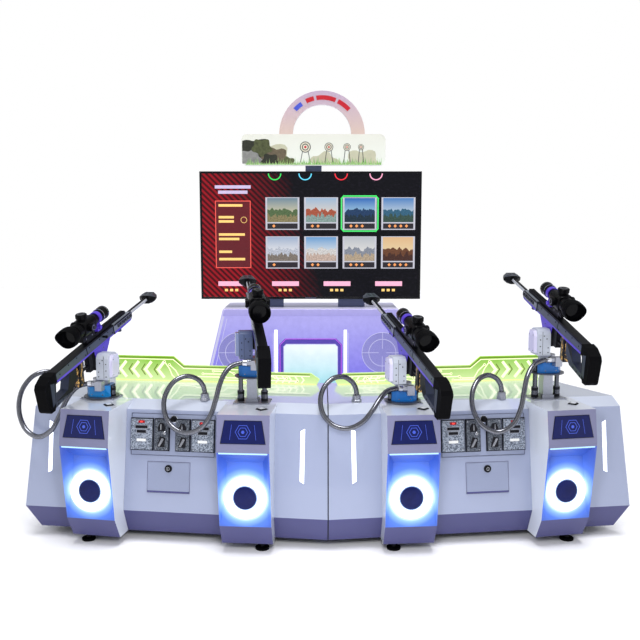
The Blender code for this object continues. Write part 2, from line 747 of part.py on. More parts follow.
def make_carriage(number, parent, raised):
    """Disc, turret box, guide rods, column and hose fitting that ride up and down together."""
    body = rod(DISC_R, 0, DISC_THICK, 24)
    width = TURRET_WIDTH / 2
    depth = TURRET_DEPTH / 2
    outline = []
    for x, y in ((1, 1), (-1, 1), (-1, -1), (1, -1)):
        ends = [(x * width, y * (depth - TURRET_CORNER)), (x * (width - TURRET_CORNER), y * depth)]
        outline += ends if x * y > 0 else ends[::-1]
    join(body, floor_plate(outline, DISC_THICK / 2, TURRET_TOP))
    side_gap = FITTING_DEPTH / 2
    low = TURRET_TOP - FITTING_DEPTH / 2
    high = TURRET_TOP + 2 * FITTING_RISE - GAP
    join(body, block((FITTING_LEFT, FITTING_Y - side_gap, low), (FITTING_RIGHT, FITTING_Y + side_gap, high)))
    fitting = turned([(GLAND_R, 0), (GLAND_R, FITTING_LEFT - FITTING_END + OVERLAP)], 8)
    turned_to(fitting, Matrix.Rotation(math.pi / 2, 4, "Y"))
    join(body, moved(fitting, (FITTING_END, FITTING_Y, TURRET_TOP + FITTING_RISE)))
    pocket_top = SLEEVE_HEIGHT + 2 * REST_GAP
    for sign in (-1, 1):
        pocket = rod(SLEEVE_R + REST_GAP, -THROUGH, pocket_top)
        cut(body, moved(pocket, (sign * ROD_SPACING / 2, 0, 0)))
    guide = COLUMN / 2 + SLIDE_GAP + COLUMN_GUIDE_WALL + REST_GAP
    guide_top = COLUMN_GUIDE_HEIGHT + 2 * REST_GAP
    cut(body, block((-guide, -guide, -THROUGH), (guide, guide, guide_top)))
    reach = -(LIFT_TRAVEL if raised else 0) - ROD_BELOW
    for sign in (-1, 1):
        guide_rod = rod(ROD_R, reach, pocket_top + OVERLAP)
        join(body, moved(guide_rod, (sign * ROD_SPACING / 2, 0, 0)))
    half = COLUMN / 2
    join(body, block((-half, -half, reach), (half, half, guide_top + OVERLAP)))
    return finish(body, "lift_carriage_%d" % number, parent, TURRET_BLUE, 0.3, 0.2)


def make_yoke(number, parent):
    """Turntable and upright neck beside the rifle, with the pivot pin; origin on the yaw axis."""
    body = rod(TURNTABLE_R, GAP, TURNTABLE_HEIGHT + OVERLAP)
    depth = NECK_DEPTH / 2
    top = TURNTABLE_HEIGHT + NECK_HEIGHT
    bevel = NECK_DEPTH / 4
    low = TURNTABLE_HEIGHT
    outline = (
        (-depth, low),
        (depth, low),
        (depth, top - bevel),
        (depth - bevel / 3, top - bevel / 3),
        (depth - bevel, top),
        (bevel - depth, top),
        (bevel / 3 - depth, top - bevel / 3),
        (-depth, top - bevel),
    )
    join(body, side_plate(outline, NECK_LEFT, NECK_RIGHT))
    cover_top = top - bevel / 3
    cover = (
        (-depth + bevel / 2, low + bevel / 2),
        (depth - bevel / 2, low + bevel / 2),
        (depth - bevel / 2, cover_top - bevel),
        (depth - bevel, cover_top),
        (bevel - depth, cover_top),
        (bevel / 2 - depth, cover_top - bevel),
    )
    join(body, side_plate(cover, NECK_LEFT - NECK_COVER, NECK_LEFT + OVERLAP))
    pivot = TURNTABLE_HEIGHT + PIVOT_RISE
    head = RIFLE_X + BRACKET_WIDTH / 2 + 2 * GAP
    pin = turned([(PIN_R, NECK_RIGHT - OVERLAP), (PIN_R, head + OVERLAP)])
    knob = turned([(PIN_HEAD_R, head), (PIN_HEAD_R, head + PIN_HEAD)])
    join(pin, knob)
    turned_to(pin, Matrix.Rotation(math.pi / 2, 4, "Y"))
    join(body, moved(pin, (0, 0, pivot)))
    turned_to(body, Matrix.Scale(HAND[number], 4, Vector((1, 0, 0))))
    if HAND[number] < 0:
        body.data.flip_normals()
    return finish(body, "gun_yoke_%d" % number, parent, LILAC_WHITE, 0.3)


def along(points):
    """Rifle points (distance from the butt, height over the bore) as (y, z) from the pivot."""
    return [(s - PIVOT_S, h + BORE_ABOVE_PIVOT) for s, h in points]


def rifle_plate(points, width, centre=0.0):
    return side_plate(along(points), centre - width / 2, centre + width / 2)


def rifle_rod(radius, start, end):
    """A round bar along the bore."""
    bar = turned([(radius, 0), (radius, end - start)])
    turned_to(bar, Matrix.Rotation(-math.pi / 2, 4, "X"))
    return moved(bar, (0, start - PIVOT_S, BORE_ABOVE_PIVOT))


STOCK = (
    (0.020, 0.013), (0.300, 0.018), (0.560, 0.018), (0.560, -0.026), (0.330, -0.028),
    (0.204, -0.032), (0.196, -0.080), (0.150, -0.112), (0.000, -0.121), (-0.010, -0.112),
)
STOCK_WINDOW = ((0.044, -0.032), (0.150, -0.031), (0.120, -0.090), (0.026, -0.100))
BUTT_PAD = (
    (-0.042, -0.018), (-0.032, -0.004), (0.008, 0.0145), (0.046, 0.0165), (0.046, -0.024),
    (0.030, -0.030), (0.010, -0.110), (0.002, -0.124), (-0.028, -0.122), (-0.036, -0.112),
)
HANDGUARD = (
    (0.556, 0.020), (0.724, 0.020), (0.740, 0.012), (0.745, 0.0), (0.740, -0.014),
    (0.726, -0.022), (0.556, -0.026),
)
GRIP = ((0.234, -0.022), (0.268, -0.022), (0.256, -0.124), (0.220, -0.130))
MAGAZINE = ((0.322, -0.020), (0.352, -0.020), (0.348, -0.108), (0.320, -0.106))
GUARD_OUTER = ((0.256, -0.022), (0.324, -0.022), (0.324, -0.082), (0.252, -0.082))
GUARD_INNER = ((0.264, -0.034), (0.315, -0.034), (0.315, -0.076), (0.260, -0.076))
BRACKET = ((0.366, -0.020), (0.530, -0.020), (0.432, -0.120), (0.382, -0.124))
BRAKE_PLAN = ((0.020, 0.953), (0.042, 0.975), (0.034, 1.010))
BRAKE_HALF = 0.021
TOP_RAIL = ((0.330, 0.010), (0.700, 0.010), (0.700, RAIL_TOP), (0.330, RAIL_TOP))
BARREL_RUN = (0.735, 0.960)
VENT_FIRST = 0.590
VENT_STEP = 0.026
VENT_LENGTH = 0.012
VENT_COUNT = 6
VENT_HALF = 0.008
KNOB_S = 0.640
KNOB_R = 0.011
KNOB_LOW = -0.044
TRIGGER_SLOT = 0.013
TRIGGER_LEVER = (
    (-0.006, 0.003), (-0.002, 0.006), (0.006, 0.006), (0.005, -0.008), (0.003, -0.020),
    (0.008, -0.042), (0.003, -0.043), (-0.004, -0.022), (-0.006, -0.008),
)


def trigger_slot():
    """The slot in the rifle's underside that the trigger's upper end turns in."""
    side = TRIGGER_WIDTH / 2 + FIT_GAP / 2
    y = TRIGGER_S - PIVOT_S
    z = TRIGGER_H + BORE_ABOVE_PIVOT
    return block((-side, y - TRIGGER_SLOT, z - 3 * TRIGGER_SLOT), (side, y + TRIGGER_SLOT, z + TRIGGER_SLOT))


def make_rifle(number, parent):
    body = rifle_plate(STOCK, RIFLE_WIDTH)
    cut(body, rifle_plate(STOCK_WINDOW, RIFLE_WIDTH + THROUGH))
    join(body, rifle_plate(BUTT_PAD, RIFLE_WIDTH * 1.3))
    join(body, rifle_plate(HANDGUARD, RIFLE_WIDTH * 1.2))
    join(body, rifle_plate(TOP_RAIL, RIFLE_WIDTH * 0.6))
    join(body, rifle_rod(BARREL_R, *BARREL_RUN))
    brake = []
    for share, rise in ((0.6, -1), (1, -0.35), (1, 0.35), (0.6, 1)):
        z = BORE_ABOVE_PIVOT + rise * BRAKE_HALF
        for sign in (-1, 1):
            brake += [(sign * x * share, s - PIVOT_S, z) for x, s in BRAKE_PLAN]
    join(body, hull(brake))
    join(body, rifle_plate(GRIP, RIFLE_WIDTH * 0.8))
    join(body, rifle_plate(MAGAZINE, RIFLE_WIDTH * 0.6))
    guard = rifle_plate(GUARD_OUTER, RIFLE_WIDTH * 0.4)
    cut(guard, rifle_plate(GUARD_INNER, RIFLE_WIDTH))
    join(body, guard)
    join(body, rifle_plate(BRACKET, BRACKET_WIDTH))
    knob = rod(KNOB_R, KNOB_LOW, KNOB_LOW / 4, 8)
    join(body, moved(knob, (0, KNOB_S - PIVOT_S, BORE_ABOVE_PIVOT)))
    for index in range(VENT_COUNT):
        start = VENT_FIRST + index * VENT_STEP
        vent = ((start, VENT_HALF), (start + VENT_LENGTH, VENT_HALF),
                (start + VENT_LENGTH, -VENT_HALF), (start, -VENT_HALF))
        for sign in (-1, 1):
            cut(body, rifle_plate(vent, RIFLE_WIDTH / 3, sign * RIFLE_WIDTH * 0.6))
    cut(body, trigger_slot())
    hole = turned([(PIN_R + PIN_GAP, -THROUGH), (PIN_R + PIN_GAP, BRACKET_WIDTH + THROUGH)])
    turned_to(hole, Matrix.Rotation(math.pi / 2, 4, "Y"))
    cut(body, moved(hole, (-BRACKET_WIDTH / 2, 0, 0)))
    return finish(body, "rifle_%d" % number, parent, GUNMETAL, 0.4, 0.5)


SCOPE_PROFILE = (
    (0.036, 0.186), (0.043, 0.196), (0.042, 0.232), (0.031, 0.250), (0.031, 0.400),
    (0.023, 0.425), (0.023, 0.455), (0.029, 0.480), (0.029, 0.520),
)
SCOPE_MOUNTS = ((0.300, 0.402), (0.432, 0.462))
SCOPE_MOUNT_WIDTH = 0.026
SADDLE_RUN = (0.296, 0.392)
SADDLE_HALF = 0.033
SADDLE_CORNER = 0.014
KNOB_SIDES = 8
TURRET_KNOB_S = 0.335
TOP_KNOB = (0.024, 0.058)
SIDE_KNOB = (0.019, 0.050)


def make_scope(number, parent):
    """Sight tube on two mounts, with a saddle that carries its three knobs."""
    body = turned([(radius, s) for radius, s in SCOPE_PROFILE])
    turned_to(body, Matrix.Rotation(-math.pi / 2, 4, "X"))
    z = BORE_ABOVE_PIVOT + SCOPE_RISE
    moved(body, (0, -PIVOT_S, z))
    low = RAIL_TOP + GAP
    for start, end in SCOPE_MOUNTS:
        mount = ((start, low), (end, low), (end, SCOPE_RISE), (start, SCOPE_RISE))
        join(body, rifle_plate(mount, SCOPE_MOUNT_WIDTH))
    inner = SADDLE_HALF - SADDLE_CORNER
    saddle = []
    for s in SADDLE_RUN:
        for x in (-1, 1):
            for rise in (-1, 1):
                saddle.append((x * SADDLE_HALF, s - PIVOT_S, z + rise * inner))
                saddle.append((x * inner, s - PIVOT_S, z + rise * SADDLE_HALF))
    join(body, hull(saddle))
    top_radius, top_reach = TOP_KNOB
    side_radius, side_reach = SIDE_KNOB
    top_knob = rod(top_radius, THROUGH, top_reach, KNOB_SIDES)
    side_bar = rod(side_radius, -side_reach, side_reach, KNOB_SIDES)
    for knob in (top_knob, turned_to(side_bar, Matrix.Rotation(math.pi / 2, 4, "Y"))):
        join(body, moved(knob, (0, TURRET_KNOB_S - PIVOT_S, z)))
    return finish(body, "scope_%d" % number, parent, BLACK, 0.35, smooth=40)


def make_trigger(number, parent):
    """A small lever in the guard; origin on its pivot across the rifle."""
    half = TRIGGER_WIDTH / 2
    body = side_plate(TRIGGER_LEVER, -half, half)
    return finish(body, "trigger_%d" % number, parent, STEEL, 0.3, 0.9,
                  (0, TRIGGER_S - PIVOT_S, TRIGGER_H + BORE_ABOVE_PIVOT))


def smooth_route(points, count):
    """Evenly spaced points on a smooth curve through the route."""
    dense = []
    padded = [points[0]] + list(points) + [points[-1]]
    for before, start, end, after in zip(padded, padded[1:], padded[2:], padded[3:]):
        for step in range(24):
            t = step / 24
            dense.append(0.5 * (2 * start + (end - before) * t
                                + (2 * before - 5 * start + 4 * end - after) * t ** 2
                                + (3 * start - before - 3 * end + after) * t ** 3))
    dense.append(points[-1])
    lengths = [0.0]
    for start, end in zip(dense, dense[1:]):
        lengths.append(lengths[-1] + (end - start).length)
    result = []
    index = 0
    for step in range(count):
        target = lengths[-1] * step / (count - 1)
        while index < len(dense) - 2 and lengths[index + 1] < target:
            index += 1
        span = lengths[index + 1] - lengths[index]
        share = (target - lengths[index]) / span if span else 0.0
        result.append(dense[index].lerp(dense[index + 1], share))
    return result, lengths[-1]


def tube(points, radii, name, roundness=2):
    """A capped round tube as a mesh, from a poly curve with its own radius at each point."""
    curve = bpy.data.curves.new(name, "CURVE")
    curve.dimensions = "3D"
    curve.bevel_depth = 1.0
    curve.bevel_resolution = roundness
    curve.use_fill_caps = True
    spline = curve.splines.new("POLY")
    spline.points.add(len(points) - 1)
    for point, place, radius in zip(spline.points, points, radii):
        point.co = (*place, 1.0)
        point.radius = radius
    item = new_object(name, curve)
    depsgraph = bpy.context.evaluated_depsgraph_get()
    mesh = bpy.data.meshes.new_from_object(item.evaluated_get(depsgraph))
    bpy.data.objects.remove(item)
    bpy.data.curves.remove(curve)
    return new_object(name, mesh)


def make_hose(number, raised, parent):
    """Ribbed steel conduit from the gland on the cabinet top to the fitting on the lift."""
    gland = Vector((-GLAND_OFFSET[number], GLAND_Y, CABINET_TOP_Z + GLAND_HEIGHT + GAP))
    lift = PLATE_LOW_Z + (LIFT_TRAVEL if raised else 0)
    fitting_z = lift + TURRET_TOP + FITTING_RISE
    fitting = Vector((LIFT_SHIFT[number] + FITTING_END - GAP, LIFT_Y + FITTING_Y, fitting_z))
    lead = HOSE_LEAD
    lower = gland + Vector((0, 0, lead))
    upper = fitting + Vector((-lead, 0, 0))
    points = [lower] + [Vector(point) for point in HOSE_ROUTES[number]] + [upper]
    middle, length = smooth_route(points, 2 * HOSE_RIBS)
    ribs = [HOSE_R if index % 2 else HOSE_R * HOSE_RIB_SHRINK for index in range(len(middle))]
    path = [gland, gland.lerp(lower, 0.5)] + middle + [fitting.lerp(upper, 0.5), fitting]
    body = tube(path, [HOSE_R, HOSE_R] + ribs + [HOSE_R, HOSE_R], "hose_%d" % number)
    bore, _ = smooth_route(points, HOSE_BORE_POINTS)
    ends = [gland - Vector((0, 0, lead)), fitting + Vector((lead, 0, 0))]
    bore = [ends[0], gland] + bore + [fitting, ends[1]]
    cut(body, tube(bore, [HOSE_BORE_R] * len(bore), "bore", 1))
    print("hose_%d length %.3f m" % (number, length + 2 * lead))
    return finish(body, "hose_%d" % number, parent, STEEL, 0.25, 0.9, smooth=40)


def make_tower(parent):
    back = TOWER_FRONT + TOWER_DEPTH
    outline = ((-TOWER_BOTTOM_HALF, 0), (TOWER_BOTTOM_HALF, 0), (TOWER_TOP_HALF, TOWER_HEIGHT),
               (-TOWER_TOP_HALF, TOWER_HEIGHT))
    body = front_plate(outline, TOWER_FRONT, back)
    wall = TOWER_WALL
    inner = (
        (-TOWER_BOTTOM_HALF + 2 * wall, wall),
        (TOWER_BOTTOM_HALF - 2 * wall, wall),
        (TOWER_TOP_HALF - wall, TOWER_HEIGHT - wall),
        (-TOWER_TOP_HALF + wall, TOWER_HEIGHT - wall),
    )
    cut(body, front_plate(inner, TOWER_FRONT + wall, back - wall))
    half = DOOR_HOLE_WIDTH / 2
    middle = TOWER_HEIGHT / 2
    low = middle - DOOR_HOLE_HEIGHT / 2
    high = middle + DOOR_HOLE_HEIGHT / 2
    cut(body, block((-half, back - 2 * wall, low), (half, back + THROUGH, high)))
    finish(body, "screen_tower", parent, LILAC_WHITE, 0.3)
    lap = DOOR_LAP
    door = block((-half - lap, back + GAP, low - lap), (half + lap, back + GAP + DOOR_THICK, high + lap))
    finish(door, "tower_rear_door", parent, GREY, 0.4, 0.4)
    computer = block((-COMPUTER_WIDTH / 2, TOWER_FRONT + 2 * wall, wall + GAP),
                     (COMPUTER_WIDTH / 2, TOWER_FRONT + 2 * wall + COMPUTER_DEPTH,
                      wall + GAP + COMPUTER_HEIGHT))
    finish(computer, "game_computer", parent, BLACK, 0.4, 0.5)


def make_screen(parent):
    half = TV_WIDTH / 2
    top = TV_BOTTOM_Z + TV_HEIGHT
    back = TV_FRONT + TV_THICK
    body = block((-half, TV_FRONT, TV_BOTTOM_Z), (half, back, top))
    bar_low = POST_TOP_Z - CROSSBAR_HEIGHT
    bump = TV_BUMP_WIDTH / 2
    join(body, block((-bump, back - OVERLAP, TV_BOTTOM_Z + TV_BUMP_RISE),
                     (bump, back + TV_BUMP_DEPTH, bar_low - TV_BUMP_CLEAR)))
    edge = TV_BEZEL
    cut(body, block((edge - half, TV_FRONT - THROUGH, TV_BOTTOM_Z + edge),
                    (half - edge, TV_FRONT + TV_SCREEN_RECESS, top - edge)))
    finish(body, "tv", parent, BLACK, 0.2)
    post_back = back + GAP + POST_THICK
    posts = []
    for sign in (-1, 1):
        low_x = sign * POST_X - POST_WIDTH / 2
        posts.append(block((low_x, back + GAP, TOWER_HEIGHT + GAP),
                           (low_x + POST_WIDTH, post_back, POST_TOP_Z)))
    bracket = posts[0]
    reach = POST_X + POST_WIDTH / 4
    bar_inset = OVERLAP / 4
    join(bracket, block((-reach, back + GAP + bar_inset, bar_low - bar_inset),
                        (reach, post_back - bar_inset, POST_TOP_Z - bar_inset)))
    join(bracket, posts[1])
    width = MARQUEE_POST_WIDTH / 2
    join(bracket, block((MARQUEE_X - width, back + GAP + 2 * bar_inset, bar_low + 2 * bar_inset),
                        (MARQUEE_X + width, post_back - 2 * bar_inset, MARQUEE_POST_TOP_Z)))
    finish(bracket, "tv_bracket", parent, GREY, 0.35, 0.8)


def make_marquee(parent):
    """Header board: a plate with rounded corners under an open arch."""
    back = TV_FRONT + TV_THICK + 2 * OVERLAP / 4
    half = MARQUEE_WIDTH / 2
    plate_top = MARQUEE_Z + MARQUEE_PLATE
    corner = MARQUEE_CORNER
    outline = []
    centres = ((half - corner, MARQUEE_Z + corner, -90), (half - corner, plate_top - corner, 0),
               (corner - half, plate_top - corner, 90), (corner - half, MARQUEE_Z + corner, 180))
    for x, z, first in centres:
        for step in range(5):
            angle = math.radians(first + 90 * step / 4)
            outline.append((MARQUEE_X + x + corner * math.cos(angle), z + corner * math.sin(angle)))
    body = front_plate(outline, back - MARQUEE_THICK, back)
    arch = []
    for step in range(25):
        angle = math.pi * step / 24
        arch.append((ARCH_X + ARCH_OUTER_R * math.cos(angle),
                     plate_top - OVERLAP + ARCH_OUTER_R * math.sin(angle)))
    for step in range(25):
        angle = math.pi * (1 - step / 24)
        arch.append((ARCH_X + ARCH_INNER_R * math.cos(angle),
                     plate_top - OVERLAP + ARCH_INNER_R * math.sin(angle)))
    inset = OVERLAP / 4
    join(body, front_plate(arch, back - MARQUEE_THICK + inset, back - inset))
    return finish(body, "marquee", parent, LILAC_WHITE, 0.3)


def make_station(number, side, place, twist, raised, yaw, pitch, cabinet_frame):
    turn = side * twist * PILLAR_TWIST
    station = frame("station_frame_%d" % number, cabinet_frame, (side * place, 0, 0), (0, 0, turn))
    make_pillar(number, side, place, twist, station)
    make_ring(number, station)
    make_speaker(number, station)
    make_button(number, station)
    make_lift_base(number, station)
    lift_z = PLATE_LOW_Z + (LIFT_TRAVEL if raised else 0)
    lift = frame("lift_frame_%d" % number, station, (LIFT_SHIFT[number], LIFT_Y, lift_z))
    make_carriage(number, lift, raised)
    yaw_frame = frame("yaw_frame_%d" % number, lift, (0, 0, TURRET_TOP), (0, 0, yaw))
    make_yoke(number, yaw_frame)
    pivot = (HAND[number] * RIFLE_X, 0, TURNTABLE_HEIGHT + PIVOT_RISE)
    pitch_frame = frame("pitch_frame_%d" % number, yaw_frame, pivot, (pitch, 0, 0))
    make_rifle(number, pitch_frame)
    make_scope(number, pitch_frame)
    make_trigger(number, pitch_frame)
    make_hose(number, raised, station)


def main():
    clear_scene()
    seam = frame("seam_frame", None, (0, SEAM_Y, 0))
    cabinet_frames = {}
    for side, word in SIDES:
        cabinet_frames[side] = frame("cabinet_frame_" + word, seam, (0, 0, 0), (0, 0, side * CABINET_ANGLE))
        make_cabinet(side, word, cabinet_frames[side])
        make_base_frame(side, word, cabinet_frames[side])
        make_coin_panel(side, word, cabinet_frames[side])
        make_cash_door(side, word, cabinet_frames[side])
        make_sign(side, word, cabinet_frames[side])
    for number, side, place, twist, raised, yaw, pitch in STATIONS:
        make_station(number, side, place, twist, raised, yaw, pitch, cabinet_frames[side])
    tower = frame("tower_frame", seam, (TOWER_X, 0, 0))
    make_tower(tower)
    make_screen(tower)
    make_marquee(tower)


main()
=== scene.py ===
"""Looks of the four-seat rifle gallery: skins over the part's solids, with their finer details.

Metres, +Z up, front towards -Y, as in the frame.
"""

import math
import random

import bmesh
import bpy
from mathutils import Matrix, Vector


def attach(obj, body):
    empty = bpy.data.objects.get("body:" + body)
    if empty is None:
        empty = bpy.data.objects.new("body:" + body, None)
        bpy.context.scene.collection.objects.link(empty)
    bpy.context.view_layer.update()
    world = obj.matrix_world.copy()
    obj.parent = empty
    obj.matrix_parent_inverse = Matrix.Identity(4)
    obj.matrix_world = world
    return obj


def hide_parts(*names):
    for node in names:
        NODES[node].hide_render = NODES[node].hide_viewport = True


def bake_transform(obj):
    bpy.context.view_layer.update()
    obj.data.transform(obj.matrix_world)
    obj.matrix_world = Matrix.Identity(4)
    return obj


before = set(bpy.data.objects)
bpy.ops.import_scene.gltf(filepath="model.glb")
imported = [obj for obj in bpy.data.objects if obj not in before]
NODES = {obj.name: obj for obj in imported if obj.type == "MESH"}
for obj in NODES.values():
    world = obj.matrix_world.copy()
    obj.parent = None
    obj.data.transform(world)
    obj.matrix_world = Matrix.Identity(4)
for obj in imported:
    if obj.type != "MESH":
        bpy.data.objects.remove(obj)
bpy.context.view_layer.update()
ROOT = "machine"

# Sizes repeated from the part
GAP = 0.0003
SEAM_Y = -0.6599
CABINET_ANGLE = 7.5
PILLAR_TWIST = 3.0
CABINET_DEPTH = 0.52
CABINET_TOP_Z = 0.585
FACE_TOP_Z = 0.555
KICK_TOP_Z = 0.137
KICK_BOTTOM_Z = 0.034
KICK_OUT = 0.045
FACE_LEAN = 0.065
FACE_ANGLE = math.atan2(FACE_LEAN, FACE_TOP_Z - KICK_TOP_Z)
PILLAR_INNER = 0.325
PILLAR_OUTER = 0.96
PILLAR_LEDGE_OUT = 0.165
PILLAR_LEDGE_Z = 0.437
PILLAR_LEDGE_TOP = 0.453
PILLAR_TOP_OUT = 0.144
RECESS_BOTTOM = (0.12576, 0.129)
RECESS_DEEP = (0.112, 0.385)
RING_Z = 0.242
RING_R = 0.085
RING_INNER_R = 0.0498
LIFT_Y = 0.09
LIFT_TRAVEL = 0.105
LIFT_SHIFT = {1: -0.038, 2: 0.0, 3: 0.0, 4: 0.0}
HAND = {1: -1, 2: 1, 3: 1, 4: 1}
PLATE_LOW_Z = CABINET_TOP_Z + GAP + 0.005
BASE_TOP_Z = CABINET_TOP_Z + GAP + 0.004
ROD_SPACING = 0.1
SLEEVE_R = 0.0145
TURRET_TOP = 0.053
TURRET_DEPTH = 0.085
DISC_THICK = 0.005
FITTING_Y = -0.058
FITTING_RISE = 0.0118
FITTING_END = -0.03
TURNTABLE_HEIGHT = 0.026
PIVOT_RISE = 0.064
NECK_LEFT = -0.056
NECK_RIGHT = -0.001
NECK_COVER = 0.014
NECK_DEPTH = 0.09
RIFLE_X = 0.016
RIFLE_WIDTH = 0.036
PIVOT_S = 0.405
BORE_ABOVE_PIVOT = 0.1
SCOPE_RISE = 0.092
RAIL_TOP = 0.034
BUTTON_X = 0.058
BUTTON_Y = -0.045
BUTTON_CORNERS = 0.046
COIN_PANEL = (0.65, 0.4545, 0.36, 0.177)
COIN_PANEL_THICK = 0.006
COIN_MODULE_DEPTH = 0.014
COIN_MODULE_HEIGHT = 0.127
CASH_DOOR = (0.666, 0.279, 0.18, 0.126)
SIGN_Y = 0.465
SIGN_THICK = 0.008
TOWER_X = -0.085
TOWER_FRONT = 1.25
TOWER_BACK = 1.61
TOWER_HEIGHT = 0.855
TOWER_TOP_HALF = 0.487
TOWER_BOTTOM_HALF = 0.7
TV_WIDTH = 1.232
TV_HEIGHT = 0.709
TV_FRONT = 1.33
TV_BOTTOM_Z = 0.903
TV_BEZEL = 0.012
TV_SCREEN_RECESS = 0.002
TV_BACK = 1.365
MARQUEE_X = 0.016
MARQUEE_WIDTH = 0.795
MARQUEE_PLATE = 0.17
MARQUEE_Z = 1.644
MARQUEE_BACK = 1.366
MARQUEE_THICK = 0.03
ARCH_X = 0.063
ARCH_OUTER_R = 0.236
ARCH_INNER_R = 0.161

# Hose, with the routes of the part's solids
HOSE_SKIN_R = 0.0108
HOSE_LEAD = 0.005
GLAND_Y = 0.105
GLAND_HEIGHT = 0.03
GLAND_R = 0.0125
GLAND_OFFSET = {1: 0.215, 2: 0.207, 3: 0.194, 4: 0.194}
HOSE_ROUTES = {
    1: (
        (-0.222, 0.102, 0.648), (-0.244, 0.092, 0.676), (-0.284, 0.07, 0.692),
        (-0.327, 0.037, 0.676), (-0.355, 0.002, 0.629), (-0.358, -0.028, 0.571),
        (-0.339, -0.053, 0.514), (-0.298, -0.074, 0.466), (-0.238, -0.086, 0.447),
        (-0.182, -0.085, 0.478), (-0.155, -0.066, 0.534), (-0.142, -0.039, 0.583),
        (-0.129, -0.009, 0.62), (-0.109, 0.017, 0.644),
    ),
    2: (
        (-0.214, 0.102, 0.649), (-0.237, 0.092, 0.679), (-0.28, 0.071, 0.693),
        (-0.326, 0.04, 0.672), (-0.352, 0.005, 0.619), (-0.345, -0.028, 0.56),
        (-0.308, -0.057, 0.511), (-0.247, -0.078, 0.49), (-0.183, -0.086, 0.513),
        (-0.143, -0.08, 0.567), (-0.124, -0.061, 0.631), (-0.113, -0.035, 0.684),
        (-0.098, -0.006, 0.724), (-0.074, 0.019, 0.749),
    ),
    3: (
        (-0.199, 0.103, 0.646), (-0.217, 0.096, 0.674), (-0.252, 0.081, 0.697),
        (-0.299, 0.057, 0.695), (-0.339, 0.027, 0.662), (-0.355, -0.004, 0.614),
        (-0.344, -0.036, 0.564), (-0.305, -0.064, 0.528), (-0.249, -0.081, 0.52),
        (-0.194, -0.081, 0.544), (-0.153, -0.063, 0.584), (-0.123, -0.035, 0.618),
        (-0.097, -0.005, 0.64), (-0.07, 0.019, 0.651),
    ),
    4: (
        (-0.202, 0.102, 0.65), (-0.228, 0.094, 0.679), (-0.274, 0.075, 0.695),
        (-0.326, 0.046, 0.68), (-0.363, 0.01, 0.633), (-0.37, -0.025, 0.572),
        (-0.343, -0.057, 0.516), (-0.283, -0.08, 0.491), (-0.222, -0.084, 0.522),
        (-0.186, -0.072, 0.581), (-0.163, -0.049, 0.644), (-0.141, -0.023, 0.695),
        (-0.111, 0.003, 0.731), (-0.077, 0.022, 0.751),
    ),
}

# Each station: number, side, place along the cabinet, twist sign, raised, yaw and pitch at rest
STATIONS = (
    (1, -1, PILLAR_OUTER, 1, False, -1.5, 13.5),
    (2, -1, PILLAR_INNER, -1, True, 13.1, 11.7),
    (3, 1, PILLAR_INNER, -1, False, 8.2, 13.7),
    (4, 1, PILLAR_OUTER, 1, True, -5.7, 12.4),
)
SIDES = ((-1, "left"), (1, "right"))


# Frames

def turn(degrees, axis):
    return Matrix.Rotation(math.radians(degrees), 4, axis)


def shift(x, y, z):
    return Matrix.Translation((x, y, z))


def cabinet_matrix(side):
    return shift(0, SEAM_Y, 0) @ turn(side * CABINET_ANGLE, "Z")


def face_matrix(side, u, z):
    """Frame on a leaning front face: X along it, Y into the cabinet, Z up it."""
    y = -KICK_OUT + (z - KICK_TOP_Z) * math.tan(FACE_ANGLE)
    return cabinet_matrix(side) @ shift(side * u, y, z) @ Matrix.Rotation(-FACE_ANGLE, 4, "X")


class Station:
    """The frames of one gun station, in the row frame."""

    def __init__(self, number, side, place, twist, raised, yaw, pitch):
        self.number = number
        self.raised = raised
        self.hand = HAND[number]
        spin = turn(side * twist * PILLAR_TWIST, "Z")
        self.base = cabinet_matrix(side) @ shift(side * place, 0, 0) @ spin
        self.foot = self.base @ shift(LIFT_SHIFT[number], LIFT_Y, 0)
        lift_z = PLATE_LOW_Z + (LIFT_TRAVEL if raised else 0)
        self.lift = self.foot @ shift(0, 0, lift_z)
        self.yaw = self.lift @ shift(0, 0, TURRET_TOP) @ turn(yaw, "Z")
        pivot = shift(self.hand * RIFLE_X, 0, TURNTABLE_HEIGHT + PIVOT_RISE) @ turn(pitch, "X")
        self.pitch = self.yaw @ pivot
        self.bore = self.pitch @ shift(0, -PIVOT_S, BORE_ABOVE_PIVOT)
        self.sight = self.bore @ shift(0, 0, SCOPE_RISE) @ turn(-90, "X")
        lean = math.atan2(RECESS_BOTTOM[0] - RECESS_DEEP[0], RECESS_DEEP[1] - RECESS_BOTTOM[1])
        share = (RING_Z - RECESS_BOTTOM[1]) / (RECESS_DEEP[1] - RECESS_BOTTOM[1])
        ring_y = -RECESS_BOTTOM[0] + share * (RECESS_BOTTOM[0] - RECESS_DEEP[0])
        self.ring = self.base @ shift(0, ring_y, RING_Z) @ Matrix.Rotation(math.pi / 2 - lean, 4, "X")
        top_lean = math.atan2(PILLAR_LEDGE_OUT - PILLAR_TOP_OUT, CABINET_TOP_Z - PILLAR_LEDGE_TOP)
        middle = (CABINET_TOP_Z + PILLAR_LEDGE_TOP) / 2
        out = (PILLAR_LEDGE_OUT + PILLAR_TOP_OUT) / 2
        self.plate = self.base @ shift(0, -out, middle) @ Matrix.Rotation(-top_lean, 4, "X")

    def body(self, word):
        return "%s_%d" % (word, self.number)


GUNS = [Station(*values) for values in STATIONS]
TOWER = shift(TOWER_X, SEAM_Y, 0)


# Materials

def rgb(red, green, blue):
    """A linear colour from 0-255 screen values."""
    values = []
    for value in (red, green, blue):
        share = value / 255
        values.append(share / 12.92 if share <= 0.04045 else ((share + 0.055) / 1.055) ** 2.4)
    return (*values, 1.0)


def scaled(colour, factor):
    return tuple(min(1.0, value * factor) for value in colour[:3]) + (1.0,)


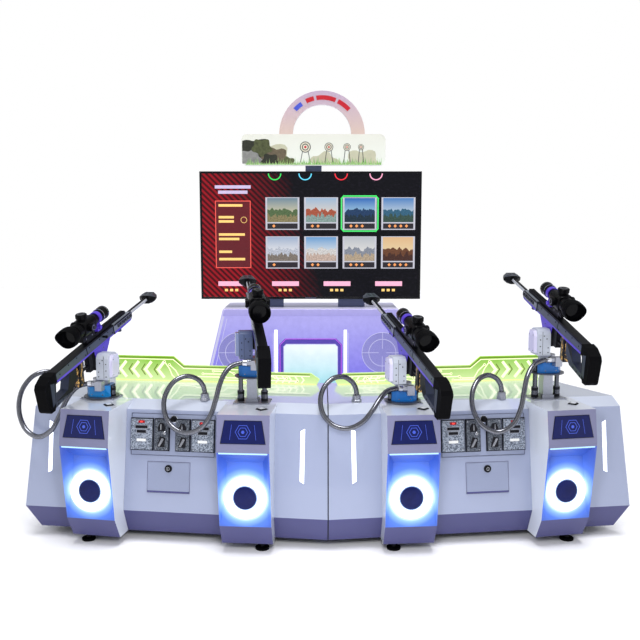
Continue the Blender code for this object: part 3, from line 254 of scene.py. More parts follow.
def put(node, **values):
    """Sets a node's inputs by name, with _ for a space."""
    for key, value in values.items():
        node.inputs[key.replace("_", " ")].default_value = value
    return node


class Graph:
    """A material's node tree with short ways to add and link nodes."""

    def __init__(self, name, **values):
        self.material = bpy.data.materials.new(name)
        self.material.use_nodes = True
        self.nodes = self.material.node_tree.nodes
        self.shader = put(self.nodes["Principled BSDF"], **values)

    def add(self, kind, **values):
        node = self.nodes.new(kind)
        for key, value in values.items():
            setattr(node, key, value)
        return node

    def link(self, output, target):
        self.material.node_tree.links.new(output, target)

    def feed(self, output, socket):
        self.link(output, self.shader.inputs[socket])

    def coords(self, stretch=(1, 1, 1)):
        source = self.add("ShaderNodeTexCoord")
        mapping = put(self.add("ShaderNodeMapping"), Scale=stretch)
        self.link(source.outputs["Object"], mapping.inputs["Vector"])
        return mapping.outputs["Vector"]

    def axes(self, kind):
        """A coordinate as a whole, and its X, Y and Z."""
        source = self.add("ShaderNodeTexCoord")
        split = self.add("ShaderNodeSeparateXYZ")
        self.link(source.outputs[kind], split.inputs["Vector"])
        return source.outputs[kind], split.outputs

    def noise(self, vector, scale, detail=3.0, roughness=0.55):
        node = put(self.add("ShaderNodeTexNoise"), Scale=scale, Detail=detail, Roughness=roughness)
        self.link(vector, node.inputs["Vector"])
        return node.outputs["Fac"]

    def cells(self, vector, scale, randomness=1.0):
        node = put(self.add("ShaderNodeTexVoronoi"), Scale=scale, Randomness=randomness)
        self.link(vector, node.inputs["Vector"])
        return node.outputs["Distance"]

    def ramp(self, factor, stops, constant=False):
        node = self.add("ShaderNodeValToRGB")
        ramp = node.color_ramp
        if constant:
            ramp.interpolation = "CONSTANT"
        while len(ramp.elements) < len(stops):
            ramp.elements.new(1.0)
        for element, (place, colour) in zip(ramp.elements, stops):
            element.position = place
            element.color = colour
        self.link(factor, node.inputs["Fac"])
        return node.outputs["Color"]

    def span(self, factor, low, high, first=0.0, last=1.0):
        """The factor's run from first to last, spread from low to high."""
        node = put(self.add("ShaderNodeMapRange"), From_Min=first, From_Max=last, To_Min=low, To_Max=high)
        self.link(factor, node.inputs["Value"])
        return node.outputs["Result"]

    def math(self, operation, first, second):
        node = self.add("ShaderNodeMath", operation=operation)
        for socket, value in zip(node.inputs, (first, second)):
            if isinstance(value, (int, float)):
                socket.default_value = value
            else:
                self.link(value, socket)
        return node.outputs["Value"]

    def mix(self, factor, first, second):
        node = self.add("ShaderNodeMix", data_type="RGBA")
        for socket, output in (("Factor", factor), ("A", first), ("B", second)):
            self.link(output, node.inputs[socket])
        return node.outputs["Result"]

    def bump(self, height, strength, distance=0.001):
        node = put(self.add("ShaderNodeBump"), Strength=strength, Distance=distance)
        self.link(height, node.inputs["Height"])
        self.feed(node.outputs["Normal"], "Normal")


BROAD_SCALE = 4.0
FINE_SHARE = 0.6
ROUGH_SPREAD = 0.18


def surface(name, colour, rough, metal=0.0, vary=0.06, grain=260.0, bump=0.06, stretch=(1, 1, 1),
            coat=0.0, shine=0.5, glaze=0.08, gloss=1.5):
    """Paint, plastic or metal: colour, gloss and relief vary with noise at the grain's scale."""
    graph = Graph(name, Metallic=metal, Coat_Weight=coat, Coat_Roughness=glaze, Coat_IOR=gloss,
                  Specular_IOR_Level=shine)
    fine = graph.noise(graph.coords(stretch), grain)
    broad = graph.noise(graph.coords(), BROAD_SCALE)
    mixed = graph.math("ADD", graph.math("MULTIPLY", fine, FINE_SHARE),
                       graph.math("MULTIPLY", broad, 1 - FINE_SHARE))
    stops = ((0.3, scaled(colour, 1 - vary)), (0.7, scaled(colour, 1 + vary)))
    graph.feed(graph.ramp(mixed, stops), "Base Color")
    highest = min(1.0, rough * (1 + ROUGH_SPREAD))
    graph.feed(graph.span(broad, rough * (1 - ROUGH_SPREAD), highest), "Roughness")
    graph.bump(fine, bump)
    return graph.material


def glow(name, colour, strength, vary=0.12, grain=90.0):
    """A lit diffuser: the light is a little uneven over the lamps behind it."""
    graph = Graph(name, Base_Color=scaled(colour, 0.25), Roughness=0.35, Emission_Color=colour)
    uneven = graph.noise(graph.coords(), grain)
    graph.feed(graph.span(uneven, strength * (1 - vary), strength * (1 + vary)), "Emission Strength")
    graph.bump(uneven, 0.02)
    return graph.material


def camo(name):
    """Patches of dark brown and sand on the grips."""
    graph = Graph(name, Roughness=0.45)
    patches = graph.noise(graph.coords((1, 1, 0.7)), 70.0, 1.0)
    stops = ((0.0, rgb(18, 14, 12)), (0.49, rgb(126, 90, 42)), (0.55, rgb(210, 168, 88)),
             (0.61, rgb(32, 23, 15)))
    graph.feed(graph.ramp(patches, stops, True), "Base Color")
    graph.bump(graph.noise(graph.coords(), 600.0), 0.15)
    return graph.material


def speckle(name, share):
    """Hammered grey steel of the coin modules."""
    graph = Graph(name, Metallic=0.4, Roughness=0.5, Specular_IOR_Level=0.3)
    vector = graph.coords()
    cells = graph.cells(vector, 210.0)
    flecks = graph.math("MULTIPLY", cells, graph.noise(vector, 120.0))
    greys = ((0.05, rgb(44, 48, 58)), (0.16, rgb(96, 104, 118)), (0.36, rgb(166, 174, 188)))
    stops = [(place, scaled(colour, share)) for place, colour in greys]
    graph.feed(graph.ramp(flecks, stops), "Base Color")
    graph.bump(cells, 0.25)
    return graph.material


def painted_recess_glow(name, station):
    """Pillar recess: the lamp ring's blue light painted into the paint's colour and glow, strongest round
    the ring.
    """
    graph = Graph(name, Roughness=0.3)
    source = graph.add("ShaderNodeTexCoord")
    measure = graph.add("ShaderNodeVectorMath", operation="DISTANCE")
    measure.inputs[1].default_value = station.ring @ Vector((0, 0, 0))
    graph.link(source.outputs["Object"], measure.inputs[0])
    away = measure.outputs["Value"]
    stops = ((0.084, rgb(206, 226, 255)), (0.096, rgb(126, 166, 244)), (0.12, rgb(70, 112, 212)),
             (0.19, rgb(54, 86, 184)), (0.26, rgb(78, 94, 168)))
    tint = graph.ramp(away, stops)
    graph.feed(tint, "Base Color")
    graph.feed(tint, "Emission Color")
    # painted glow: strongest at the ring, fading with distance from it
    graph.feed(graph.span(away, 0.6, 0.03, 0.085, 0.15), "Emission Strength")
    graph.bump(graph.noise(source.outputs["Object"], 400.0), 0.04)
    return graph.material


def graded(name, low_z, high_z, low, high, strength, grain=40.0, rough=0.25, base=0.3):
    """A panel, backlit or printed, whose colour changes with height."""
    graph = Graph(name, Roughness=rough)
    place, axis = graph.axes("Object")
    height = graph.span(axis["Z"], 0.0, 1.0, low_z, high_z)
    uneven = graph.noise(place, grain)
    mixed = graph.math("ADD", height, graph.span(uneven, -0.08, 0.08))
    paint = graph.ramp(mixed, ((0.0, scaled(low, base)), (1.0, scaled(high, base))))
    graph.feed(paint, "Base Color")
    if strength:
        graph.feed(graph.ramp(mixed, ((0.0, low), (1.0, high))), "Emission Color")
        graph.feed(graph.span(uneven, strength * 0.9, strength * 1.1), "Emission Strength")
    return graph.material


SCREEN_BASE = (0.01, 0.01, 0.012, 1.0)
CARD_GLOW = 0.85
SCREEN_GLOW = 0.62


def scenery(name, seed, sky, haze, hill, ground):
    """A made-up landscape on a card: sky, two rows of hills and ground, over the card's own square."""
    graph = Graph(name, Roughness=0.2, Specular_IOR_Level=0.12, Base_Color=SCREEN_BASE,
                  Emission_Strength=CARD_GLOW)
    square, axis = graph.axes("UV")
    colour = graph.ramp(axis["Y"], ((0.35, haze), (1.0, sky)))
    for index, (level, scale, paint) in enumerate(((0.52, 5.0, hill), (0.28, 9.0, ground))):
        line = put(graph.add("ShaderNodeTexNoise", noise_dimensions="1D"), Scale=scale, Detail=4.0)
        graph.link(graph.math("ADD", axis["X"], seed * 3.7 + index), line.inputs["W"])
        edge = graph.math("ADD", graph.span(line.outputs["Fac"], -0.25, 0.25), level)
        below = graph.math("LESS_THAN", axis["Y"], edge)
        mottle = graph.noise(square, 22.0)
        rows = graph.ramp(mottle, ((0.3, scaled(paint, 0.6)), (0.7, scaled(paint, 1.3))))
        colour = graph.mix(below, colour, rows)
    graph.feed(colour, "Emission Color")
    return graph.material


def striped_screen(name):
    """The screen's ground: red slanted stripes that fade into black to the right."""
    graph = Graph(name, Roughness=0.15, Specular_IOR_Level=0.03, Emission_Strength=SCREEN_GLOW,
                  Base_Color=SCREEN_BASE)
    square, axis = graph.axes("UV")
    slant = graph.math("ADD", graph.math("MULTIPLY", axis["X"], 1.74), axis["Y"])
    wave = graph.math("FRACT", graph.math("MULTIPLY", slant, 21.0), 0.0)
    stripe = graph.ramp(wave, ((0.44, rgb(196, 26, 40)), (0.54, rgb(92, 8, 18))))
    low = graph.math("MULTIPLY", graph.math("SUBTRACT", 1.0, axis["Y"]), 0.16)
    smoky = graph.span(graph.noise(square, 5.0), -0.05, 0.05)
    reach = graph.math("SUBTRACT", axis["X"], graph.math("ADD", low, smoky))
    dark = graph.span(reach, 0.0, 1.0, 0.04, 0.4)
    dust = graph.ramp(graph.noise(square, 60.0), ((0.5, rgb(8, 8, 13)), (0.82, rgb(36, 32, 44))))
    graph.feed(graph.mix(dark, stripe, dust), "Emission Color")
    return graph.material


def perforated(name, colour, hole, scale):
    """Sheet with an even grid of round holes."""
    graph = Graph(name, Roughness=0.4)
    cells = graph.cells(graph.coords(), scale, 0.0)
    graph.feed(graph.ramp(cells, ((0.3, hole), (0.4, colour))), "Base Color")
    graph.bump(cells, 0.3)
    return graph.material


def hose_metal(name):
    """Drawn steel of the hoses, with fine grain."""
    graph = Graph(name, Metallic=0.95)
    vector = graph.coords()
    fine = graph.noise(vector, 500.0)
    graph.feed(graph.ramp(fine, ((0.3, rgb(70, 70, 77)), (0.7, rgb(146, 148, 156)))), "Base Color")
    graph.feed(graph.span(graph.noise(vector, 30.0), 0.16, 0.28), "Roughness")
    graph.bump(fine, 0.08)
    return graph.material


GLOSSY = dict(vary=0.02, grain=500, bump=0.0, shine=0.3)
# Lit and shaded copies of one white paint. The fronts' darker lilac grey is painted shade with the lamps'
# tint. The lighter tops and the pillars' lighter sides and tops are painted light. The clear coat's
# reflections are real.
WHITE = surface("white_gloss", rgb(150, 158, 184), 0.22, coat=0.9, glaze=0.03, **GLOSSY)
LIT_TOP_GLOSS = surface("painted_lit_top_gloss", rgb(192, 199, 216), 0.2, coat=1.0, glaze=0.02, gloss=2.0, **GLOSSY)
PAINTED_LIT_WHITE = surface("painted_lit_white", rgb(214, 220, 232), 0.22, coat=0.9, glaze=0.03, **GLOSSY)
# Lilac of the kick, darkened further as painted shade for faces that turn down from the light.
KICK = surface("kick_lilac_painted_shade", rgb(74, 74, 120), 0.3, vary=0.03, grain=500, bump=0.02, coat=0.1, shine=0.3)
FRAME_GREY = surface("plate_frame", rgb(116, 117, 146), 0.35, vary=0.04, grain=420, shine=0.3)
NAVY = surface("plate_navy", rgb(14, 22, 76), 0.25, vary=0.12, grain=60, bump=0.02, shine=0.25)
NAVY_LINE = glow("plate_line", rgb(70, 96, 220), 0.7)
LAMP = glow("white_lamp", rgb(240, 246, 255), 1.5)
STRIP = glow("strip_lamp", rgb(236, 242, 255), 2.2)
LEDGE_LAMP = glow("ledge_lamp", rgb(176, 218, 255), 1.15)
SEAM_BLACK = surface("seam_black", rgb(20, 20, 26), 0.6, shine=0.22)
BLACK_STEEL = surface("black_steel", rgb(30, 30, 36), 0.4, 0.5, grain=420, bump=0.12, shine=0.22)
BLACK_PLASTIC = surface("black_plastic", rgb(14, 14, 18), 0.42, grain=800, bump=0.1, shine=0.12)
RUBBER = surface("black_rubber", rgb(5, 5, 7), 0.62, grain=900, bump=0.2, shine=0.05)
STEEL = surface("bright_steel", rgb(168, 170, 178), 0.25, 0.95, vary=0.1, grain=240, stretch=(1, 1, 0.05))
ZINC = surface("zinc_plate", rgb(168, 171, 182), 0.35, 0.85, vary=0.1, grain=160)
CHROME = surface("chrome", rgb(222, 224, 230), 0.12, 1.0, vary=0.03, grain=90, bump=0.01)
BLUE = surface("turret_blue", rgb(18, 100, 176), 0.3, vary=0.06, grain=600, coat=0.3, shine=0.3)
CASTING = surface("white_casting", rgb(188, 194, 206), 0.35, vary=0.04, grain=700, bump=0.08)
# Darker copies of the casting and cover: painted shade for the neck of gun 2.
SHADE_CAST = surface("shaded_casting", rgb(76, 88, 122), 0.35, vary=0.04, grain=700, bump=0.08)
SHADE_COVER = surface("shaded_cover", rgb(112, 124, 160), 0.25, vary=0.03, grain=200, coat=0.3)
COVER = surface("white_cover", rgb(214, 210, 236), 0.25, vary=0.03, grain=200, coat=0.5)
SLATE = surface("slate_plate", rgb(68, 77, 90), 0.3, 0.35, vary=0.08, grain=520, bump=0.08, shine=0.3)
GUN_BLACK = surface("gun_black", rgb(13, 13, 18), 0.38, 0.1, vary=0.1, grain=700, bump=0.1, shine=0.1)
# Violet standing in for the violet LED light on the rifles' undersides, lower edges and front scope mount:
# painted light.
PAINTED_VIOLET_LIGHT = surface("violet_painted_light", rgb(88, 62, 206), 0.3, 0.3, vary=0.1, grain=480)
GUARD_GREY = surface("handguard_grey", rgb(126, 132, 143), 0.35, 0.2, vary=0.08, grain=520, shine=0.3)
SCOPE_BLACK = surface("scope_black", rgb(7, 7, 9), 0.3, 0.0, vary=0.12, grain=900, bump=0.12, shine=0.08)
LENS = surface("coated_lens", rgb(7, 7, 10), 0.1, 0.0, vary=0.2, grain=30, bump=0.0, shine=0.12)
CAMO = camo("camo_grip")
SPECKLE = speckle("speckled_steel", 1.0)
DARK_SPECKLE = speckle("dark_speckled_steel", 0.4)
RED_LAMP = glow("red_lamp", rgb(255, 60, 50), 1.6)
RED_LENS = surface("red_lens", rgb(150, 14, 28), 0.2, vary=0.1, grain=200)
LABEL = surface("blank_label", rgb(226, 226, 224), 0.5, grain=300)
HOSE = hose_metal("ribbed_steel")
# Light grey standing in for the chrome barrel's bright reflections: painted reflection.
BARREL = surface("barrel_painted_shine", rgb(206, 209, 217), 0.24, 0.3, vary=0.05, grain=300, stretch=(1, 1, 0.05))
# Lighter top of the muzzle brake: painted highlight.
BRAKE_HIGHLIGHT = surface("brake_painted_highlight", rgb(66, 70, 80), 0.3, 0.3, vary=0.06, grain=420)
ROD_STEEL = surface("rod_steel", rgb(96, 98, 106), 0.2, 1.0, vary=0.08, grain=300)
DISC_GREY = surface("disc_grey", rgb(78, 80, 90), 0.3, 0.6, vary=0.08, grain=300)
COIN_EDGE = surface("coin_edge", rgb(58, 62, 80), 0.4, 0.3, vary=0.06, grain=420)
SPEAKER_BLUE = surface("speaker_blue", rgb(12, 22, 80), 0.14, vary=0.3, grain=26, bump=0.02, shine=0.2)
SPEAKER_RIM = surface("speaker_rim", rgb(150, 184, 238), 0.25, 0.1, vary=0.05, grain=300)
LAMP_CAP = glow("button_cap", rgb(226, 230, 240), 0.5)
# Lighter copy of the turret blue: painted light on the turret of gun 1.
PAINTED_LIT_BLUE = surface("turret_painted_lit_blue", rgb(16, 130, 202), 0.3, vary=0.06, grain=600, coat=0.3,
                      shine=0.3)
GUN_SIDE = surface("gun_side", rgb(48, 54, 70), 0.34, 0.3, vary=0.08, grain=520, bump=0.08, shine=0.22)
PANEL_LILAC = surface("coin_plate", rgb(140, 148, 174), 0.3, 0.1, vary=0.04, grain=420)
LIME = graded("lime_panel", 0.585, 0.705, rgb(222, 246, 172), rgb(132, 196, 36), 0.8, 60.0, 0.08)
LIME_EDGE = glow("lime_edge", rgb(222, 244, 150), 1.1)
LIME_PALE = glow("lime_pale", rgb(250, 255, 206), 1.2)
LIME_DARK = glow("lime_dark", rgb(116, 146, 14), 0.6)
TOWER_PANEL = graded("tower_panel", 0.35, 0.86, rgb(112, 104, 236), rgb(188, 182, 246), 0.72)
TOWER_LILAC = surface("tower_lilac", rgb(206, 204, 236), 0.35, vary=0.03, grain=420, bump=0.03)
TOWER_TRIM = graded("tower_trim", 0.81, 0.855, rgb(176, 170, 242), rgb(188, 182, 245), 0.7, 40.0, 0.3, 0.2)
TOWER_LINE = glow("tower_line", rgb(214, 212, 250), 0.7)
TOWER_FRAME = surface("tower_frame", rgb(104, 84, 196), 0.25, 0.1, vary=0.06, grain=300, coat=0.4)
MAGENTA = glow("magenta_line", rgb(196, 96, 232), 1.1)
WINDOW = graded("tower_window", 0.36, 0.64, rgb(120, 212, 226), rgb(240, 250, 255), 0.95, 14.0, 0.2, 0.12)
GRILLE = perforated("tower_grille", rgb(172, 168, 232), rgb(112, 106, 196), 230.0)
TV_GLOSS = surface("tv_gloss", rgb(12, 12, 17), 0.18, vary=0.1, grain=500, bump=0.03, coat=0.25,
                   shine=0.15)
POST_GREY = surface("post_grey", rgb(84, 92, 122), 0.4, 0.4, vary=0.06, grain=300)
SCREEN = striped_screen("screen_ground")
SCREEN_RED = glow("screen_red", rgb(104, 10, 26), 0.7, 0.2, 24.0)
SCREEN_RED_LIT = glow("screen_red_lit", rgb(236, 60, 72), 1.0)
SCREEN_ROSE = glow("screen_rose", rgb(250, 96, 84), 1.0)
SCREEN_GOLD = glow("screen_gold", rgb(250, 206, 120), 1.0)
SCREEN_ORANGE = glow("screen_orange", rgb(250, 160, 90), 1.0)
SCREEN_GREEN = glow("screen_green", rgb(70, 226, 110), 1.0)
SCREEN_CYAN = glow("screen_cyan", rgb(110, 214, 240), 1.0)
SCREEN_PINK = glow("screen_pink", rgb(244, 176, 204), 1.0)
SCREEN_LILAC = glow("screen_lilac", rgb(206, 190, 226), 0.9)
SCREEN_FRAME = glow("screen_frame", rgb(196, 196, 208), 0.85, 0.15, 40.0)
SCREEN_DARK = glow("screen_dark", rgb(40, 34, 44), 0.6)
# Sky, haze, hills and ground of each card
LANDSCAPES = (
    ((120, 150, 170), (220, 214, 180), (96, 120, 80), (150, 140, 100)),
    ((170, 200, 230), (236, 226, 214), (186, 96, 70), (150, 176, 170)),
    ((40, 110, 200), (170, 214, 240), (40, 70, 110), (36, 56, 70)),
    ((80, 140, 210), (200, 220, 236), (60, 110, 140), (64, 90, 80)),
    ((170, 190, 220), (246, 246, 250), (206, 212, 226), (140, 130, 120)),
    ((110, 170, 226), (226, 236, 244), (236, 228, 226), (214, 190, 176)),
    ((200, 206, 214), (240, 238, 236), (150, 156, 170), (196, 176, 150)),
    ((244, 200, 150), (250, 226, 180), (120, 76, 50), (80, 50, 40)),
)
SCENES = [scenery("scene_%d" % index, index + 1, *[rgb(*colour) for colour in colours])
          for index, colours in enumerate(LANDSCAPES)]
PLATE_PRINT = graded("header_plate", 1.65, 1.81, rgb(242, 246, 236), rgb(236, 236, 224), 0.1, 9.0, 0.4,
                     0.94)
ARCH_PRINT = graded("header_arch", 1.83, 2.05, rgb(236, 210, 198), rgb(210, 186, 214), 0.0, 9.0, 0.4, 0.9)
HEADER_EDGE = surface("header_edge", rgb(228, 224, 228), 0.5, vary=0.03, grain=200)
HEADER_DARK = surface("header_dark", rgb(52, 54, 56), 0.55, vary=0.15, grain=120)
HEADER_CREAM = surface("header_cream", rgb(232, 226, 204), 0.55, vary=0.05, grain=120)
HEADER_RED = surface("header_red", rgb(206, 26, 44), 0.5, vary=0.08, grain=120)
HEADER_BLUE = surface("header_blue", rgb(76, 92, 214), 0.5, vary=0.08, grain=120)
OLIVE = surface("print_olive", rgb(86, 92, 56), 0.55, vary=0.45, grain=70)
DARK_OLIVE = surface("print_dark_olive", rgb(44, 46, 34), 0.55, vary=0.5, grain=80)
BARK = surface("print_bark", rgb(104, 92, 72), 0.55, vary=0.4, grain=90)
STONE = surface("print_stone", rgb(146, 146, 142), 0.55, vary=0.3, grain=60)
HAZE = surface("print_haze", rgb(206, 204, 176), 0.55, vary=0.08, grain=30)
GRASSES = [surface("print_grass_%d" % index, colour, 0.55, vary=0.15, grain=90)
           for index, colour in enumerate((rgb(92, 168, 72), rgb(134, 196, 96), rgb(176, 214, 132)))]
# Printed mounds: place, height, radius, layer and colour
HEADER_MOUNDS = (
    (-0.25, 1.664, 0.118, 0, HAZE), (0.06, 1.652, 0.07, 0, HAZE),
    (0.27, 1.65, 0.09, 0, HAZE), (-0.32, 1.706, 0.092, 1, DARK_OLIVE),
    (-0.215, 1.68, 0.07, 1.4, BARK), (-0.352, 1.676, 0.06, 1.8, STONE),
    (-0.285, 1.742, 0.05, 2.0, OLIVE), (-0.24, 1.668, 0.044, 2.4, DARK_OLIVE),
    (-0.14, 1.66, 0.034, 2.2, OLIVE),
)
ARCH_BAR_WIDTH = 0.024
ARCH_BARS = ((42, 64, HEADER_RED), (68, 99, HEADER_RED), (103, 116, HEADER_RED), (124, 138, HEADER_BLUE))


# Mesh pieces

BEVEL_ANGLE = math.radians(24)


def unique(groups):
    """The members of all groups, each once, in their own order."""
    return list(dict.fromkeys(member for group in groups for member in group))


class Piece:
    """Collects shapes with their materials into one mesh."""

    def __init__(self, name):
        self.name = name
        self.bm = bmesh.new()
        self.uv = self.bm.loops.layers.uv.new("UVMap")
        self.materials = []

    def slot_of(self, material):
        if material not in self.materials:
            self.materials.append(material)
        return self.materials.index(material)

    def close(self, faces, material, matrix=None, bevel=0.0):
        """Sets the material, rounds the edges and moves new faces to their place."""
        index = self.slot_of(material)
        bmesh.ops.recalc_face_normals(self.bm, faces=faces)
        for face in faces:
            face.material_index = index
        if bevel:
            edges = [edge for edge in unique(face.edges for face in faces)
                     if len(edge.link_faces) == 2 and edge.calc_face_angle(0) > BEVEL_ANGLE]
            made = bmesh.ops.bevel(self.bm, geom=edges, offset=bevel, segments=2, profile=0.5,
                                   affect="EDGES", clamp_overlap=True)
            for face in made["faces"]:
                face.material_index = index
            faces = unique(([face for face in faces if face.is_valid], made["faces"]))
        if matrix is not None:
            bmesh.ops.transform(self.bm, matrix=matrix, verts=unique(face.verts for face in faces))

    def loft(self, levels, material, matrix=None, bevel=0.0, capped=True):
        """Rings of as many points each, joined in turn and closed at both ends."""
        rows = [[self.bm.verts.new(point) for point in level] for level in levels]
        count = len(rows[0])
        faces = []
        for lower, upper in zip(rows, rows[1:]):
            for index in range(count):
                after = (index + 1) % count
                faces.append(self.bm.faces.new((lower[index], lower[after], upper[after], upper[index])))
        if capped:
            faces.append(self.bm.faces.new(rows[0]))
            faces.append(self.bm.faces.new(rows[-1]))
        self.close(faces, material, matrix, bevel)

    def box(self, low, high, material, matrix=None, bevel=0.0008):
        base = [(low[0], low[1]), (high[0], low[1]), (high[0], high[1]), (low[0], high[1])]
        levels = [[(x, y, z) for x, y in base] for z in (low[2], high[2])]
        self.loft(levels, material, matrix, bevel)

    def slab(self, x, half, ys, zs, material, matrix, bevel):
        """A box as wide on both sides of x, between two depths and two heights."""
        self.box((x - half, ys[0], zs[0]), (x + half, ys[1], zs[1]), material, matrix, bevel)

    def side(self, outline, half, material, matrix=None, bevel=0.0008, centre=0.0):
        """An outline of (y, z) points, extruded both ways along X."""
        levels = [[(centre + x, y, z) for y, z in outline] for x in (-half, half)]
        self.loft(levels, material, matrix, bevel)

    def front(self, outline, low_y, high_y, material, matrix=None, bevel=0.0):
        """An outline of (x, z) points, extruded along Y."""
        levels = [[(x, y, z) for x, z in outline] for y in (low_y, high_y)]
        self.loft(levels, material, matrix, bevel)

    def turned(self, profile, material, matrix=None, segments=48, capped=True):
        """A profile of (radius, height) points turned about Z."""
        levels = []
        for radius, height in profile:
            level = []
            for step in range(segments):
                angle = 2 * math.pi * step / segments
                level.append((radius * math.cos(angle), radius * math.sin(angle), height))
            levels.append(level)
        self.loft(levels, material, matrix, 0.0, capped)

    def ring(self, profile, material, matrix=None, segments=64):
        """A closed profile turned about Z, as a ring."""
        self.turned(list(profile) + [profile[0]], material, matrix, segments, False)

    def screw(self, radius, matrix, material=ZINC, height=0.4):
        """A button-head screw with a hexagonal socket, its head along the frame's Z."""
        tall = radius * height
        profile = ((radius, 0), (radius, tall * 0.4), (radius * 0.8, tall * 0.85), (radius * 0.5, tall))
        self.turned(profile, material, matrix, 16)
        socket = ((radius * 0.42, tall), (radius * 0.42, tall * 1.02))
        self.turned(socket, SEAM_BLACK, matrix, 6)

    def quad(self, corners, material, matrix=None):
        """A single square with its own 0-1 coordinates."""
        face = self.bm.faces.new([self.bm.verts.new(corner) for corner in corners])
        for loop, place in zip(face.loops, ((0, 0), (1, 0), (1, 1), (0, 1))):
            loop[self.uv].uv = place
        face.material_index = self.slot_of(material)
        if matrix is not None:
            bmesh.ops.transform(self.bm, matrix=matrix, verts=list(face.verts))

    def panel(self, x0, z0, x1, z1, front, material, matrix=None, thick=0.0008):
        """A thin card facing -Y: a pictured front square on a closed edge."""
        self.box((x0, front + thick * 0.1, z0), (x1, front + thick, z1), SEAM_BLACK, matrix, 0.0)
        self.quad(((x0, front, z0), (x1, front, z0), (x1, front, z1), (x0, front, z1)), material, matrix)

    def stroke(self, points, width, front, material, matrix=None, thick=0.0012):
        """A flat line of one width through (x, z) points, standing on the plane y = front."""
        for (x0, z0), (x1, z1) in zip(points, points[1:]):
            along = Vector((x1 - x0, z1 - z0))
            if along.length < 1e-6:
                continue
            along.normalize()
            across = Vector((-along.y, along.x)) * width / 2
            reach = along * width / 2
            start = Vector((x0, z0)) - reach
            end = Vector((x1, z1)) + reach
            outline = [start - across, end - across, end + across, start + across]
            self.front([tuple(point) for point in outline], front - thick, front, material, matrix)

    def finish(self, body, replaces=(), smooth=35):
        """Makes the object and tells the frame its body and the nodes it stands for."""
        mesh = bpy.data.meshes.new(self.name)
        self.bm.to_mesh(mesh)
        self.bm.free()
        for material in self.materials:
            mesh.materials.append(material)
        mesh.shade_smooth()
        mesh.set_sharp_from_angle(angle=math.radians(smooth))
        item = bpy.data.objects.new(self.name, mesh)
        bpy.context.scene.collection.objects.link(item)
        item.modifiers.new("weighted", "WEIGHTED_NORMAL").keep_sharp = True
        if body:
            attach(item, body)
        if replaces:
            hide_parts(*replaces)
        return item


def arc(centre, radius, first, last, steps):
    """Points on an arc in the plane, angles in degrees."""
    points = []
    for step in range(steps + 1):
        angle = math.radians(first + (last - first) * step / steps)
        points.append((centre[0] + radius * math.cos(angle), centre[1] + radius * math.sin(angle)))
    return points


def band(inner, outer, low, high):
    """The four corners of a plain ring's profile, or of a square."""
    return [(inner, low), (outer, low), (outer, high), (inner, high)]


def corners(reach_x, reach_z):
    return [(x, z) for x in (-reach_x, reach_x) for z in (-reach_z, reach_z)]


def outward(matrix, x, y, z):
    """A frame at a place, its Z out of a front, towards -Y."""
    return matrix @ shift(x, y, z) @ turn(90, "X")


def sideways(matrix, sign, x, y, z):
    """A frame at a place, its Z along X in the sign's direction."""
    return matrix @ shift(x, y, z) @ turn(90 * sign, "Y")


def dressed(node, body, rule, matrix, bevel):
    """A copy of a solid with rounded edges, and a material for each face by its place in a frame."""
    piece = Piece(node + "_skin")
    piece.bm.from_mesh(NODES[node].data)
    bm = piece.bm
    bmesh.ops.remove_doubles(bm, verts=bm.verts, dist=0.00002)
    bmesh.ops.dissolve_limit(bm, angle_limit=math.radians(0.5), verts=bm.verts, edges=bm.edges)
    edges = [edge for edge in bm.edges
             if len(edge.link_faces) == 2 and edge.calc_face_angle(0) > math.radians(20)
             and edge.calc_length() > bevel * 2.2]
    bmesh.ops.bevel(bm, geom=edges, offset=bevel, segments=2, profile=0.5, affect="EDGES",
                    clamp_overlap=True)
    inverse = matrix.inverted()
    turned_back = inverse.to_3x3()
    for face in bm.faces:
        material = rule(inverse @ face.calc_center_median(), turned_back @ face.normal)
        face.material_index = piece.slot_of(material)
    piece.finish(body, (node,))


# Camera, light and stage

SENSOR_WIDTH = 36.0
LENS_LENGTH = 45.0
CAMERA_PLACE = (-0.033, SEAM_Y - 3.16, 1.335)
CAMERA_TILT = 83.0


def make_camera():
    data = bpy.data.cameras.new("camera")
    data.sensor_width = SENSOR_WIDTH
    data.lens = LENS_LENGTH
    camera = bpy.data.objects.new("camera", data)
    camera.location = CAMERA_PLACE
    camera.rotation_euler = (math.radians(CAMERA_TILT), 0, 0)
    bpy.context.scene.collection.objects.link(camera)
    bpy.context.scene.camera = camera


AMBIENT = 0.44
KEY_STRENGTH = 2.1
FILL_STRENGTH = 0.5
LAMP_WATTS = 17.0
LAMP_SIZE = 0.5
LAMP_PLACE = (0, SEAM_Y - 1.55, 1.25)
LAMP_WAY = (0, 1.55, -0.6)
FLOOR_REACH = 12.0
# Each sun: name, strength, spread in degrees and direction
SUNS = (
    ("soft_key", KEY_STRENGTH, 24, (-0.03, 0.14, -1.0)),
    ("fill_left", FILL_STRENGTH, 70, (0.9, 0.5, -0.4)),
    ("fill_right", FILL_STRENGTH, 70, (-0.9, 0.5, -0.4)),
)


def aim(name, data, way):
    """A lamp that points one way."""
    lamp = bpy.data.objects.new(name, data)
    lamp.rotation_euler = Vector(way).to_track_quat("-Z", "Y").to_euler()
    bpy.context.scene.collection.objects.link(lamp)
    return lamp


